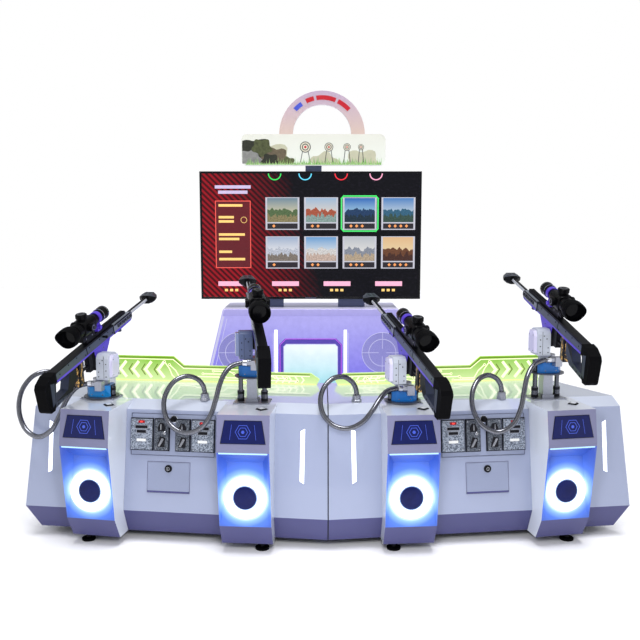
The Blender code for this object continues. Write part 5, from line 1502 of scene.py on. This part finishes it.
def make_coin_panel(side, word):
    """The coin plate with its edge lines, two counters, two acceptors and a lock."""
    piece = Piece("coin_panel_%s_skin" % word)
    u, z, width, height = COIN_PANEL
    place = face_matrix(side, u, z)
    front = -GAP - COIN_PANEL_THICK
    half = width / 2
    tall = height / 2
    piece.box((-half, front, -tall), (half, -GAP, tall), PANEL_LILAC, place, 0.0012)
    for x in (-half + 0.0025, half - 0.0025):
        line = [(x, -tall + 0.003), (x, tall - 0.003)]
        piece.stroke(line, PANEL_LINE, front, COIN_EDGE, place, PANEL_LINE_THICK)
    for edge in (-tall + 0.0025, tall - 0.0025):
        line = [(-half + 0.003, edge), (half - 0.003, edge)]
        piece.stroke(line, PANEL_LINE, front, COIN_EDGE, place, PANEL_LINE_THICK)
    for sign in (-1, 1):
        add_counter(piece, place, sign * COUNTER_X, front)
        add_acceptor(piece, place, sign * ACCEPTOR_X, front)
    lock = outward(place, 0.004, front, 0.066)
    piece.turned(LOCK_KNOB, BLACK_PLASTIC, lock, 40)
    piece.ring([(0.0134, 0), (0.0152, 0), (0.0152, 0.002), (0.0134, 0.003)], CHROME, lock, 40)
    piece.finish(ROOT, ("coin_panel_" + word,))


def add_module(piece, place, x, half, front, material):
    """A raised block on a dark back plate; gives the depth of its face."""
    low = -COIN_MODULE_HEIGHT / 2
    high = COIN_MODULE_HEIGHT / 2
    deep = front - COIN_MODULE_DEPTH
    piece.slab(x, half, (deep, front + 0.001), (low, high), material, place, 0.0016)
    back = (low - MODULE_BACK, high + MODULE_BACK)
    piece.slab(x, half + MODULE_BACK, (front - MODULE_BACK, front), back, BLACK_STEEL, place, 0.0004)
    return deep


def add_counter(piece, place, x, front):
    """A speckled block with a red lamp, two slots in frames and a blank label."""
    deep = add_module(piece, place, x, COUNTER_HALF, front, SPECKLE)
    sunk = deep + 0.001
    piece.slab(x, 0.014, (deep - 0.003, sunk), (0.047, 0.058), RED_LENS, place, 0.0014)
    piece.slab(x, 0.005, (deep - 0.0036, deep), (0.05, 0.055), RED_LAMP, place, 0.0006)
    for low, wide in ((0.025, 0.026), (0.006, 0.02)):
        piece.box((x - wide - 0.003, deep - 0.0012, low - 0.002), (x + wide + 0.003, sunk, low + 0.014),
                  ZINC, place, 0.0006)
        piece.slab(x, wide, (deep - 0.0018, sunk), (low, low + 0.012), SEAM_BLACK, place, 0.0003)
        piece.box((x - wide * 0.6, deep - 0.0026, low + 0.004), (x + wide * 0.3, deep - 0.001, low + 0.0075),
                  BLACK_STEEL, place, 0.0005)
    piece.slab(x, 0.02, (deep - 0.001, sunk), (-0.029, -0.018), LABEL, place, 0.0004)
    for corner_x, corner_z in corners(0.039, 0.055):
        piece.screw(0.0032, outward(place, x + corner_x, deep, corner_z), STEEL)


def add_acceptor(piece, place, x, front):
    """A coin entry: slot in a dark escutcheon, return button, and the cup with its flap."""
    deep = add_module(piece, place, x, ACCEPTOR_HALF, front, DARK_SPECKLE)
    entry, cup, flap = [[(x + a, b) for a, b in outline] for outline in (COIN_ENTRY, COIN_CUP, COIN_FLAP)]
    piece.front(entry, deep - 0.005, deep + 0.001, SEAM_BLACK, place, 0.0012)
    piece.slab(x, 0.0022, (deep - 0.0078, deep - 0.004), (0.022, 0.045), CHROME, place, 0.0006)
    button = ((0.0075, 0), (0.0075, 0.004), (0.006, 0.0056))
    piece.turned(button, CHROME, outward(place, x + 0.013, deep, 0.008), 32)
    piece.front(cup, deep - 0.002, deep + 0.001, SEAM_BLACK, place, 0.0006)
    piece.front(flap, deep - 0.0052, deep - 0.001, STEEL, place, 0.0008)
    for corner_x, corner_z in corners(0.0235, 0.057):
        piece.screw(0.0028, outward(place, x + corner_x, deep, corner_z), STEEL)


DOOR_INSET = 0.003
DOOR_GAP = 0.0016
GAP_HALF = 0.0007


def make_cash_door(side, word):
    """The door with its raised panel, a bottom lip darkened as painted shadow, its lock, and the dark line
    round its opening.
    """
    piece = Piece("cash_door_%s_skin" % word)
    u, z, width, height = CASH_DOOR
    place = face_matrix(side, u, z)
    half = width / 2
    tall = height / 2
    piece.box((-half, -0.002, -tall), (half, 0.002, tall), WHITE, place, 0.0008)
    raised = (-tall + DOOR_INSET, tall - DOOR_INSET)
    piece.slab(0, half - DOOR_INSET, (-0.004, -0.0015), raised, PANEL_LILAC, place, 0.001)
    # bottom lip in the kick's dark lilac: painted shadow under the door
    piece.box((-half, -0.0052, -tall), (half, -0.001, -tall + 0.007), KICK, place, 0.001)
    lock = outward(place, 0, -0.004, tall - 0.026)
    piece.turned(((0.0155, 0), (0.0155, 0.003), (0.014, 0.0048)), SEAM_BLACK, lock, 48)
    piece.turned(((0.0128, 0.004), (0.0128, 0.0062), (0.0112, 0.0072)), BLACK_PLASTIC, lock, 48)
    piece.ring(band(0.006, 0.0076, 0.007, 0.0082), CHROME, lock, 32)
    piece.box((-0.001, -0.0048, 0.007), (0.001, 0.0048, 0.0079), CHROME, lock, 0.0002)
    piece.finish("cash_door_body_" + word, ("cash_door_" + word,))
    gap = Piece("cash_frame_" + word)
    deep = (-0.0012, 0.003)
    for sign in (-1, 1):
        upright = (-tall - DOOR_GAP, tall + DOOR_GAP)
        gap.slab(sign * (half + DOOR_GAP), GAP_HALF, deep, upright, FRAME_GREY, place, 0.0)
        edge = sign * (tall + DOOR_GAP)
        gap.slab(0, half + DOOR_GAP, deep, (edge - GAP_HALF, edge + GAP_HALF), FRAME_GREY, place, 0.0)
    gap.finish(ROOT)


# Lit signs

SIGN_INNER = 0.11
SIGN_OUTER = 1.08
SIGN_STEP = 0.79
SIGN_STEP_RUN = 0.05
SIGN_LOW = 0.055
SIGN_MIDDLE = 0.079
SIGN_TALL = 0.12
SIGN_LOW_STEP = 0.445
EDGE_DROP = 0.008
EDGE_IN = 0.003
# One printed layer over another, and the thickness of a print
LAYER = 0.0003
PRINT_THICK = 0.0004
# Printed lines as (along the sign, up)
SIGN_TRACES = (
    ((0.2, 0.016), (0.33, 0.016), (0.344, 0.03), (0.47, 0.03)),
    ((0.25, 0.028), (0.306, 0.028), (0.312, 0.034), (0.42, 0.034), (0.426, 0.04)),
    ((0.44, 0.012), (0.56, 0.012), (0.574, 0.026), (0.69, 0.026)),
    ((0.47, 0.024), (0.536, 0.024), (0.552, 0.04), (0.65, 0.04)),
    ((0.5, 0.044), (0.524, 0.054), (0.6, 0.054)),
    ((0.66, 0.01), (0.78, 0.01), (0.8, 0.03), (0.812, 0.06), (0.836, 0.094)),
    ((0.7, 0.018), (0.762, 0.018), (0.782, 0.052), (0.812, 0.08)),
)


def make_sign(side, word):
    """Lit acrylic with a printed circuit of lines, nodes and arrows, in a rail whose front strip glows as
    painted light.
    """
    matrix = cabinet_matrix(side)
    base = CABINET_TOP_Z + GAP

    def rule(place, facing):
        return LIME if abs(facing.y) > 0.5 else LIME_EDGE

    dressed("sign_" + word, ROOT, rule, matrix, 0.0008)
    piece = Piece("sign_print_" + word)

    def draw(points, width, material, layer=0):
        place = [(side * u, base + z) for u, z in points]
        piece.stroke(place, width, SIGN_Y - layer * LAYER, material, matrix, PRINT_THICK)

    def node(u, z, radius, material, layer=1):
        outline = [(side * (u + a), base + z + b) for a, b in arc((0, 0), radius, 0, 345, 23)]
        piece.front(outline, SIGN_Y - PRINT_THICK - layer * LAYER, SIGN_Y, material, matrix)

    edge = [(SIGN_OUTER - 0.004, SIGN_TALL - EDGE_DROP), (SIGN_STEP + EDGE_IN, SIGN_TALL - EDGE_DROP),
            (SIGN_STEP - SIGN_STEP_RUN + EDGE_IN, SIGN_MIDDLE - EDGE_DROP),
            (SIGN_LOW_STEP + EDGE_IN, SIGN_MIDDLE - EDGE_DROP),
            (SIGN_LOW_STEP - SIGN_STEP_RUN / 2 + EDGE_IN, SIGN_LOW - EDGE_DROP),
            (SIGN_INNER + 0.034, SIGN_LOW - EDGE_DROP)]
    draw(edge, 0.0045, LIME_DARK)
    draw([(u, z - 0.0075) for u, z in edge], 0.004, LIME_PALE)
    for index in range(4):
        u = 0.842 + 0.062 * index
        draw([(u, 0.022), (u + 0.026, 0.055), (u, 0.088)], 0.013, LIME_PALE)
        draw([(u + 0.028, 0.03), (u + 0.045, 0.055), (u + 0.028, 0.08)], 0.0045, LIME_DARK, 1)
    for trace in SIGN_TRACES:
        draw(trace, 0.0046, LIME_PALE)
        for end in (trace[0], trace[-1]):
            node(*end, 0.006, LIME_PALE)
            node(*end, 0.0028, LIME_DARK, 2)
    for index in range(5):
        u = 0.17 + 0.03 * index
        draw([(u + 0.01, 0.008), (u, 0.022), (u + 0.01, 0.036)], 0.005, LIME_PALE)
    for index in range(7):
        u = 0.59 + 0.014 * index
        draw([(u, 0.0045), (u + 0.008, 0.0045)], 0.003, LIME_DARK)
    piece.finish(ROOT)
    rail = Piece("sign_rail_" + word)
    ends = (side * (SIGN_INNER + 0.004), side * (SIGN_OUTER - 0.004))
    # the rail's front strip glows with the sign's lime: painted light over the shade at the sign's foot
    for y, material in ((SIGN_Y - 0.0045, LIME_EDGE), (SIGN_Y + SIGN_THICK + 0.0005, ZINC)):
        low = (min(ends), y, base + 0.0004)
        high = (max(ends), y + 0.004, base + 0.0055)
        rail.box(low, high, material, matrix, 0.0006)
    rail.finish(ROOT)


# Screen tower

BAR_X = 0.193
BAR_LINE_X = 0.208
TRIM_RUN = (0.815, 0.851)
FRAME_RUN = (0.345, 0.69)
FRAME_HALF = 0.176
FRAME_CUT = 0.034
WINDOW_HALF = 0.15
GRILLE_AT = (0.4, 0.61)
GRILLE_R = 0.115


def tower_half(z):
    return TOWER_BOTTOM_HALF + (TOWER_TOP_HALF - TOWER_BOTTOM_HALF) * z / TOWER_HEIGHT


def make_tower():
    """The tower's lit front: edge lines, light bars, top trim, the framed window and two grilles."""
    front = TOWER_FRONT

    def rule(place, facing):
        return TOWER_PANEL if facing.y < -0.5 and place.y < front + 0.01 else TOWER_LILAC

    dressed("screen_tower", ROOT, rule, TOWER, 0.005)
    piece = Piece("tower_front")
    for sign in (-1, 1):
        edge = [(sign * (tower_half(z) - 0.012), z) for z in (0.012, 0.845)]
        inner = [(sign * (tower_half(z) - 0.036), z) for z in (0.03, 0.8)]
        bar = [(sign * BAR_X, 0.1), (sign * BAR_X, 0.73)]
        beside = [(sign * BAR_LINE_X, 0.1), (sign * BAR_LINE_X, 0.72)]
        piece.stroke(edge, 0.013, front, TOWER_LINE, TOWER, 0.0025)
        piece.stroke(inner, 0.003, front, TOWER_LINE, TOWER, 0.0012)
        piece.stroke(bar, 0.016, front, STRIP, TOWER, 0.004)
        piece.stroke(beside, 0.004, front, TOWER_LINE, TOWER, 0.0016)
    trim = tower_half(0.83) - 0.004
    low, high = TRIM_RUN
    outline = [(-trim, low), (trim, low), (trim - 0.01, high), (0.01 - trim, high)]
    piece.front(outline, front - 0.006, front, TOWER_TRIM, TOWER, 0.002)
    low, high = FRAME_RUN
    half = FRAME_HALF
    cut = FRAME_CUT
    outline = [(-half + cut, low), (half - cut, low), (half, low + cut), (half, high - cut),
               (half - cut, high), (cut - half, high), (-half, high - cut), (-half, low + cut)]
    piece.front(outline, front - 0.003, front, TOWER_FRAME, TOWER, 0.001)
    inside = [(x * 0.97, z * 0.985 + 0.008) for x, z in outline + outline[:1]]
    piece.stroke(inside, 0.003, front - 0.003, MAGENTA, TOWER, 0.0012)
    half = WINDOW_HALF
    window = [(-half, low + 0.024), (half, low + 0.024), (half, high - 0.046), (0.136, high - 0.032),
              (-0.136, high - 0.032), (-half, high - 0.046)]
    piece.front(window, front - 0.0045, front - 0.001, WINDOW, TOWER, 0.0008)
    piece.stroke(window + window[:1], 0.0036, front - 0.0044, TOWER_LINE, TOWER, 0.001)
    piece.finish(ROOT)
    for sign, word in SIDES:
        make_grille(sign, word)
    make_tower_back()


def make_grille(sign, word):
    """A round speaker grille with two rings and four spokes."""
    grille = Piece("tower_grille_" + word)
    x, z = sign * GRILLE_AT[0], GRILLE_AT[1]
    face = TOWER_FRONT - 0.0022
    grille.front(arc((x, z), GRILLE_R, 0, 357, 119), face, TOWER_FRONT, GRILLE, TOWER, 0.0008)
    for share, width in ((1.0, 0.003), (0.67, 0.0034)):
        radius = GRILLE_R * share
        grille.ring(band(radius - width, radius, -0.0004, 0.001), TOWER_LINE, outward(TOWER, x, face, z), 96)
    for step in range(4):
        angle = math.radians(90 * step)
        spoke = [(x + GRILLE_R * share * math.cos(angle), z + GRILLE_R * share * math.sin(angle))
                 for share in (0.2, 0.98)]
        grille.stroke(spoke, 0.003, TOWER_FRONT - 0.0021, TOWER_LINE, TOWER, 0.001)
    grille.finish(ROOT)


COMPUTER_LOW = Vector((-0.09, TOWER_FRONT + 0.036, 0.0183))
COMPUTER_HIGH = Vector((0.09, TOWER_FRONT + 0.296, 0.4183))


def make_tower_back():
    """The rear door with its louvres, screws and lock, and the computer inside."""
    door = Piece("tower_door_skin")
    back = TOWER_BACK + GAP
    face = back + 0.0098
    middle = TOWER_HEIGHT / 2
    door.slab(0, 0.32, (back, back + 0.01), (middle - 0.26, middle + 0.26), TOWER_LILAC, TOWER, 0.003)
    for sign in (-1, 1):
        for index in range(9):
            z = middle + sign * 0.15 - 0.056 + 0.014 * index
            door.slab(0, 0.15, (back + 0.0085, back + 0.0115), (z, z + 0.006), FRAME_GREY, TOWER, 0.0012)
            slot = (z - 0.0042, z - 0.0006)
            door.slab(0, 0.148, (back + 0.009, back + 0.0104), slot, SEAM_BLACK, TOWER, 0.0)
        for z in (middle - 0.235, middle, middle + 0.235):
            door.screw(0.006, TOWER @ shift(sign * 0.3, face, z) @ turn(-90, "X"), STEEL, 0.3)
    lock = TOWER @ shift(0.255, face, middle) @ turn(-90, "X")
    door.turned(((0.013, 0), (0.013, 0.0012), (0.0118, 0.002)), CHROME, lock, 40)
    door.box((-0.001, -0.005, 0.0018), (0.001, 0.005, 0.0022), SEAM_BLACK, lock, 0.0)
    door.finish(ROOT, ("tower_rear_door",))
    computer = Piece("computer_skin")
    low = COMPUTER_LOW
    high = COMPUTER_HIGH
    computer.box(low, high, BLACK_STEEL, TOWER, 0.003)
    for index in range(10):
        z = 0.09 + 0.016 * index
        for x in (low.x, high.x):
            computer.slab(x, 0.0004, (low.y + 0.05, high.y - 0.05), (z, z + 0.006), SEAM_BLACK, TOWER, 0.0)
    computer.slab(0, 0.06, (high.y - 0.0006, high.y + 0.0006), (0.3, 0.39), ZINC, TOWER, 0.0004)
    computer.finish(ROOT, ("game_computer",))


# Screen: places on the picture as shares of its width and height

SCREEN_COLUMNS = (0.3, 0.478, 0.656, 0.834)
SCREEN_ROWS = (0.56, 0.245)
CHOSEN_CARD = (0.656, 0.56)
TITLE_BARS = ((0.06, 0.225, 0.88), (0.075, 0.21, 0.838))
LIST_BOX = (0.062, 0.24, 0.222, 0.78)
LIST_BARS = ((0.735, 0.11), (0.64, 0.07), (0.606, 0.07), (0.5, 0.12), (0.464, 0.094), (0.36, 0.06),
             (0.3, 0.12))
BOWLS = ((0.335, SCREEN_GREEN), (0.475, SCREEN_CYAN), (0.64, SCREEN_RED_LIT), (0.8, SCREEN_PINK))
FOOT_BARS = (0.07, 0.32, 0.56, 0.8)
DIAMOND = 0.009


def make_tv():
    """The television, its picture of cards and bars in layers, and trim on its back."""
    def rule(place, facing):
        return TV_GLOSS if place.y < TV_FRONT + 0.012 else BLACK_PLASTIC

    dressed("tv", ROOT, rule, TOWER, 0.0016)
    piece = Piece("tv_picture")
    left = -TV_WIDTH / 2 + TV_BEZEL
    low = TV_BOTTOM_Z + TV_BEZEL
    wide = TV_WIDTH - 2 * TV_BEZEL
    tall = TV_HEIGHT - 2 * TV_BEZEL
    glass = TV_FRONT + TV_SCREEN_RECESS - 0.0001

    def at(x, z):
        return left + x * wide, low + z * tall

    def card(x0, z0, x1, z1, material, layer):
        piece.panel(*at(x0, z0), *at(x1, z1), glass - layer * LAYER, material, TOWER, LAYER)

    def line(points, width, material, layer):
        piece.stroke([at(x, z) for x, z in points], width, glass - layer * LAYER, material, TOWER, LAYER)

    card(0, 0, 1, 1, SCREEN, 1)
    for x0, x1, z in TITLE_BARS:
        card(x0, z, x1, z + 0.026, SCREEN_LILAC, 2)
    x0, z0, x1, z1 = LIST_BOX
    card(x0, z0, x1, z1, SCREEN_RED, 2)
    line([(x0, z0), (x1, z0), (x1, z1), (x0, z1), (x0, z0)], 0.004, SCREEN_ROSE, 3)
    for z, run in LIST_BARS:
        card(0.076, z, 0.076 + run, z + 0.02, SCREEN_GOLD, 3)
    x, z = at(0.192, 0.628)
    piece.ring(band(0.015, 0.0175, 0, 0.0003), SCREEN_GOLD, outward(TOWER, x, glass - 0.001, z), 48)
    for x, material in BOWLS:
        piece.stroke(arc(at(x, 1.0), 0.034, 180, 360, 24), 0.006, glass - 0.0006, material, TOWER, LAYER)
    index = 0
    for z in SCREEN_ROWS:
        for x in SCREEN_COLUMNS:
            card(x - 0.008, z - 0.012, x + 0.148, z + 0.25, SCREEN_FRAME, 2)
            card(x, z + 0.05, x + 0.14, z + 0.244, SCENES[index], 3)
            card(x, z - 0.004, x + 0.14, z + 0.04, SCREEN_DARK, 3)
            for dot in range(1 + index % 4):
                dot_x, dot_z = at(x + 0.03 + 0.026 * dot, z + 0.019)
                diamond = [(dot_x - DIAMOND, dot_z), (dot_x, dot_z - DIAMOND), (dot_x + DIAMOND, dot_z),
                           (dot_x, dot_z + DIAMOND)]
                piece.front(diamond, glass - 0.0014, glass - 0.001, SCREEN_ORANGE, TOWER)
            index += 1
    x, z = CHOSEN_CARD
    border = [(x - 0.014, z - 0.002), (x - 0.004, z - 0.022), (x + 0.144, z - 0.022), (x + 0.154, z - 0.002),
              (x + 0.154, z + 0.24), (x + 0.144, z + 0.26), (x - 0.004, z + 0.26), (x - 0.014, z + 0.24),
              (x - 0.014, z - 0.002)]
    line(border, 0.008, SCREEN_GREEN, 4)
    for x in FOOT_BARS:
        card(x, 0.09, x + 0.125, 0.128, SCREEN_PINK, 2)
        for dash in range(3):
            card(x + 0.03 + 0.024 * dash, 0.046, x + 0.044 + 0.024 * dash, 0.066, SCREEN_GOLD, 2)
    piece.finish(ROOT)
    rear = Piece("tv_rear_trim")
    vent = (TV_BACK - 0.0005, TV_BACK + 0.0008)
    for row in range(12):
        z = TV_BOTTOM_Z + 0.52 + 0.012 * row
        for x0, x1 in ((-0.42, -0.2), (0.2, 0.42)):
            rear.box((x0, vent[0], z), (x1, vent[1], z + 0.005), SEAM_BLACK, TOWER, 0.0)
    badge = (TV_BOTTOM_Z + 0.004, TV_BOTTOM_Z + 0.007)
    rear.slab(0, 0.03, (TV_FRONT - 0.0004, TV_FRONT + 0.001), badge, FRAME_GREY, TOWER, 0.0003)
    rear.finish(ROOT)
    dressed("tv_bracket", ROOT, lambda place, facing: POST_GREY, TOWER, 0.0025)


# Header

HEADER_SEED = 7
HEADER_TARGETS = ((-0.045, 0.03), (0.085, 0.024), (0.185, 0.02), (0.262, 0.016))
TARGET_RINGS = ((1.0, HEADER_DARK), (0.86, HEADER_CREAM), (0.62, HEADER_DARK), (0.46, HEADER_CREAM),
                (0.22, HEADER_RED))
BLADES = 260
BLADE_HALF = 0.0022
ARCH_BAR_STEPS = 16


def make_header():
    """The header board with printed mounds, targets and grass, and plain bars on its arch."""
    top = MARQUEE_Z + MARQUEE_PLATE
    front = MARQUEE_BACK - MARQUEE_THICK

    def rule(place, facing):
        if facing.y > -0.5:
            return HEADER_EDGE
        return ARCH_PRINT if place.z > top - 0.0015 else PLATE_PRINT

    dressed("marquee", ROOT, rule, TOWER, 0.0012)
    piece = Piece("header_print")
    draws = random.Random(HEADER_SEED)
    left = MARQUEE_X - MARQUEE_WIDTH / 2 + 0.004
    right = MARQUEE_X + MARQUEE_WIDTH / 2 - 0.004

    def shape(points, layer, material):
        piece.front(points, front - PRINT_THICK - layer * LAYER, front + 0.0002, material, TOWER)

    for x, z, radius, layer, material in HEADER_MOUNDS:
        lobes = []
        for step in range(36):
            angle = math.radians(10 * step)
            wobble = radius * (0.86 + 0.14 * math.sin(5 * angle + 11 * x) + 0.05 * draws.random())
            px = min(max(left, MARQUEE_X + x + wobble * 1.2 * math.cos(angle)), right)
            pz = min(max(MARQUEE_Z + 0.01, z + wobble * math.sin(angle)), top - 0.004)
            lobes.append((px, pz))
        shape(lobes, layer, material)
    for x, radius in HEADER_TARGETS:
        spot = (MARQUEE_X + x, MARQUEE_Z + 0.1)
        for share, material in TARGET_RINGS:
            shape(arc(spot, radius * share, 0, 350, 35), 2 + (1.0 - share) * 3, material)
        for sign in (-1, 1):
            leg = [(spot[0] + sign * radius * 0.5, spot[1] - radius * 0.7),
                   (spot[0] + sign * radius * 0.9, MARQUEE_Z + 0.018)]
            piece.stroke(leg, 0.0035, front, HEADER_DARK, TOWER, 0.0008)
    ground = MARQUEE_Z + 0.004
    for index in range(BLADES):
        x = left + 0.02 + (right - left - 0.04) * (index + draws.random()) / BLADES
        tall = 0.014 + 0.03 * draws.random() ** 2
        lean = (draws.random() - 0.5) * 0.016
        blade = [(x - BLADE_HALF, ground), (x + BLADE_HALF, ground), (x + lean, ground + tall)]
        shape(blade, 1 + index % 3, GRASSES[index % len(GRASSES)])
    centre = (ARCH_X, top - 0.002)
    middle = (ARCH_OUTER_R + ARCH_INNER_R) / 2
    for first, last, material in ARCH_BARS:
        outer = arc(centre, middle + ARCH_BAR_WIDTH / 2, first, last, ARCH_BAR_STEPS)
        inner = arc(centre, middle - ARCH_BAR_WIDTH / 2, last, first, ARCH_BAR_STEPS)
        piece.front(outer + inner, front - 0.001, front + 0.0002, material, TOWER)
    piece.finish(ROOT)


for gun in GUNS:
    for make in (make_pillar, make_ring, make_button, make_lift, make_yoke, make_rifle, make_scope,
                 make_hose):
        make(gun)
for cabinet_side, cabinet_word in SIDES:
    for make in (make_cabinet, make_coin_panel, make_cash_door, make_sign):
        make(cabinet_side, cabinet_word)
for make in (make_seam, make_tower, make_tv, make_header, make_camera, make_stage):
    make()
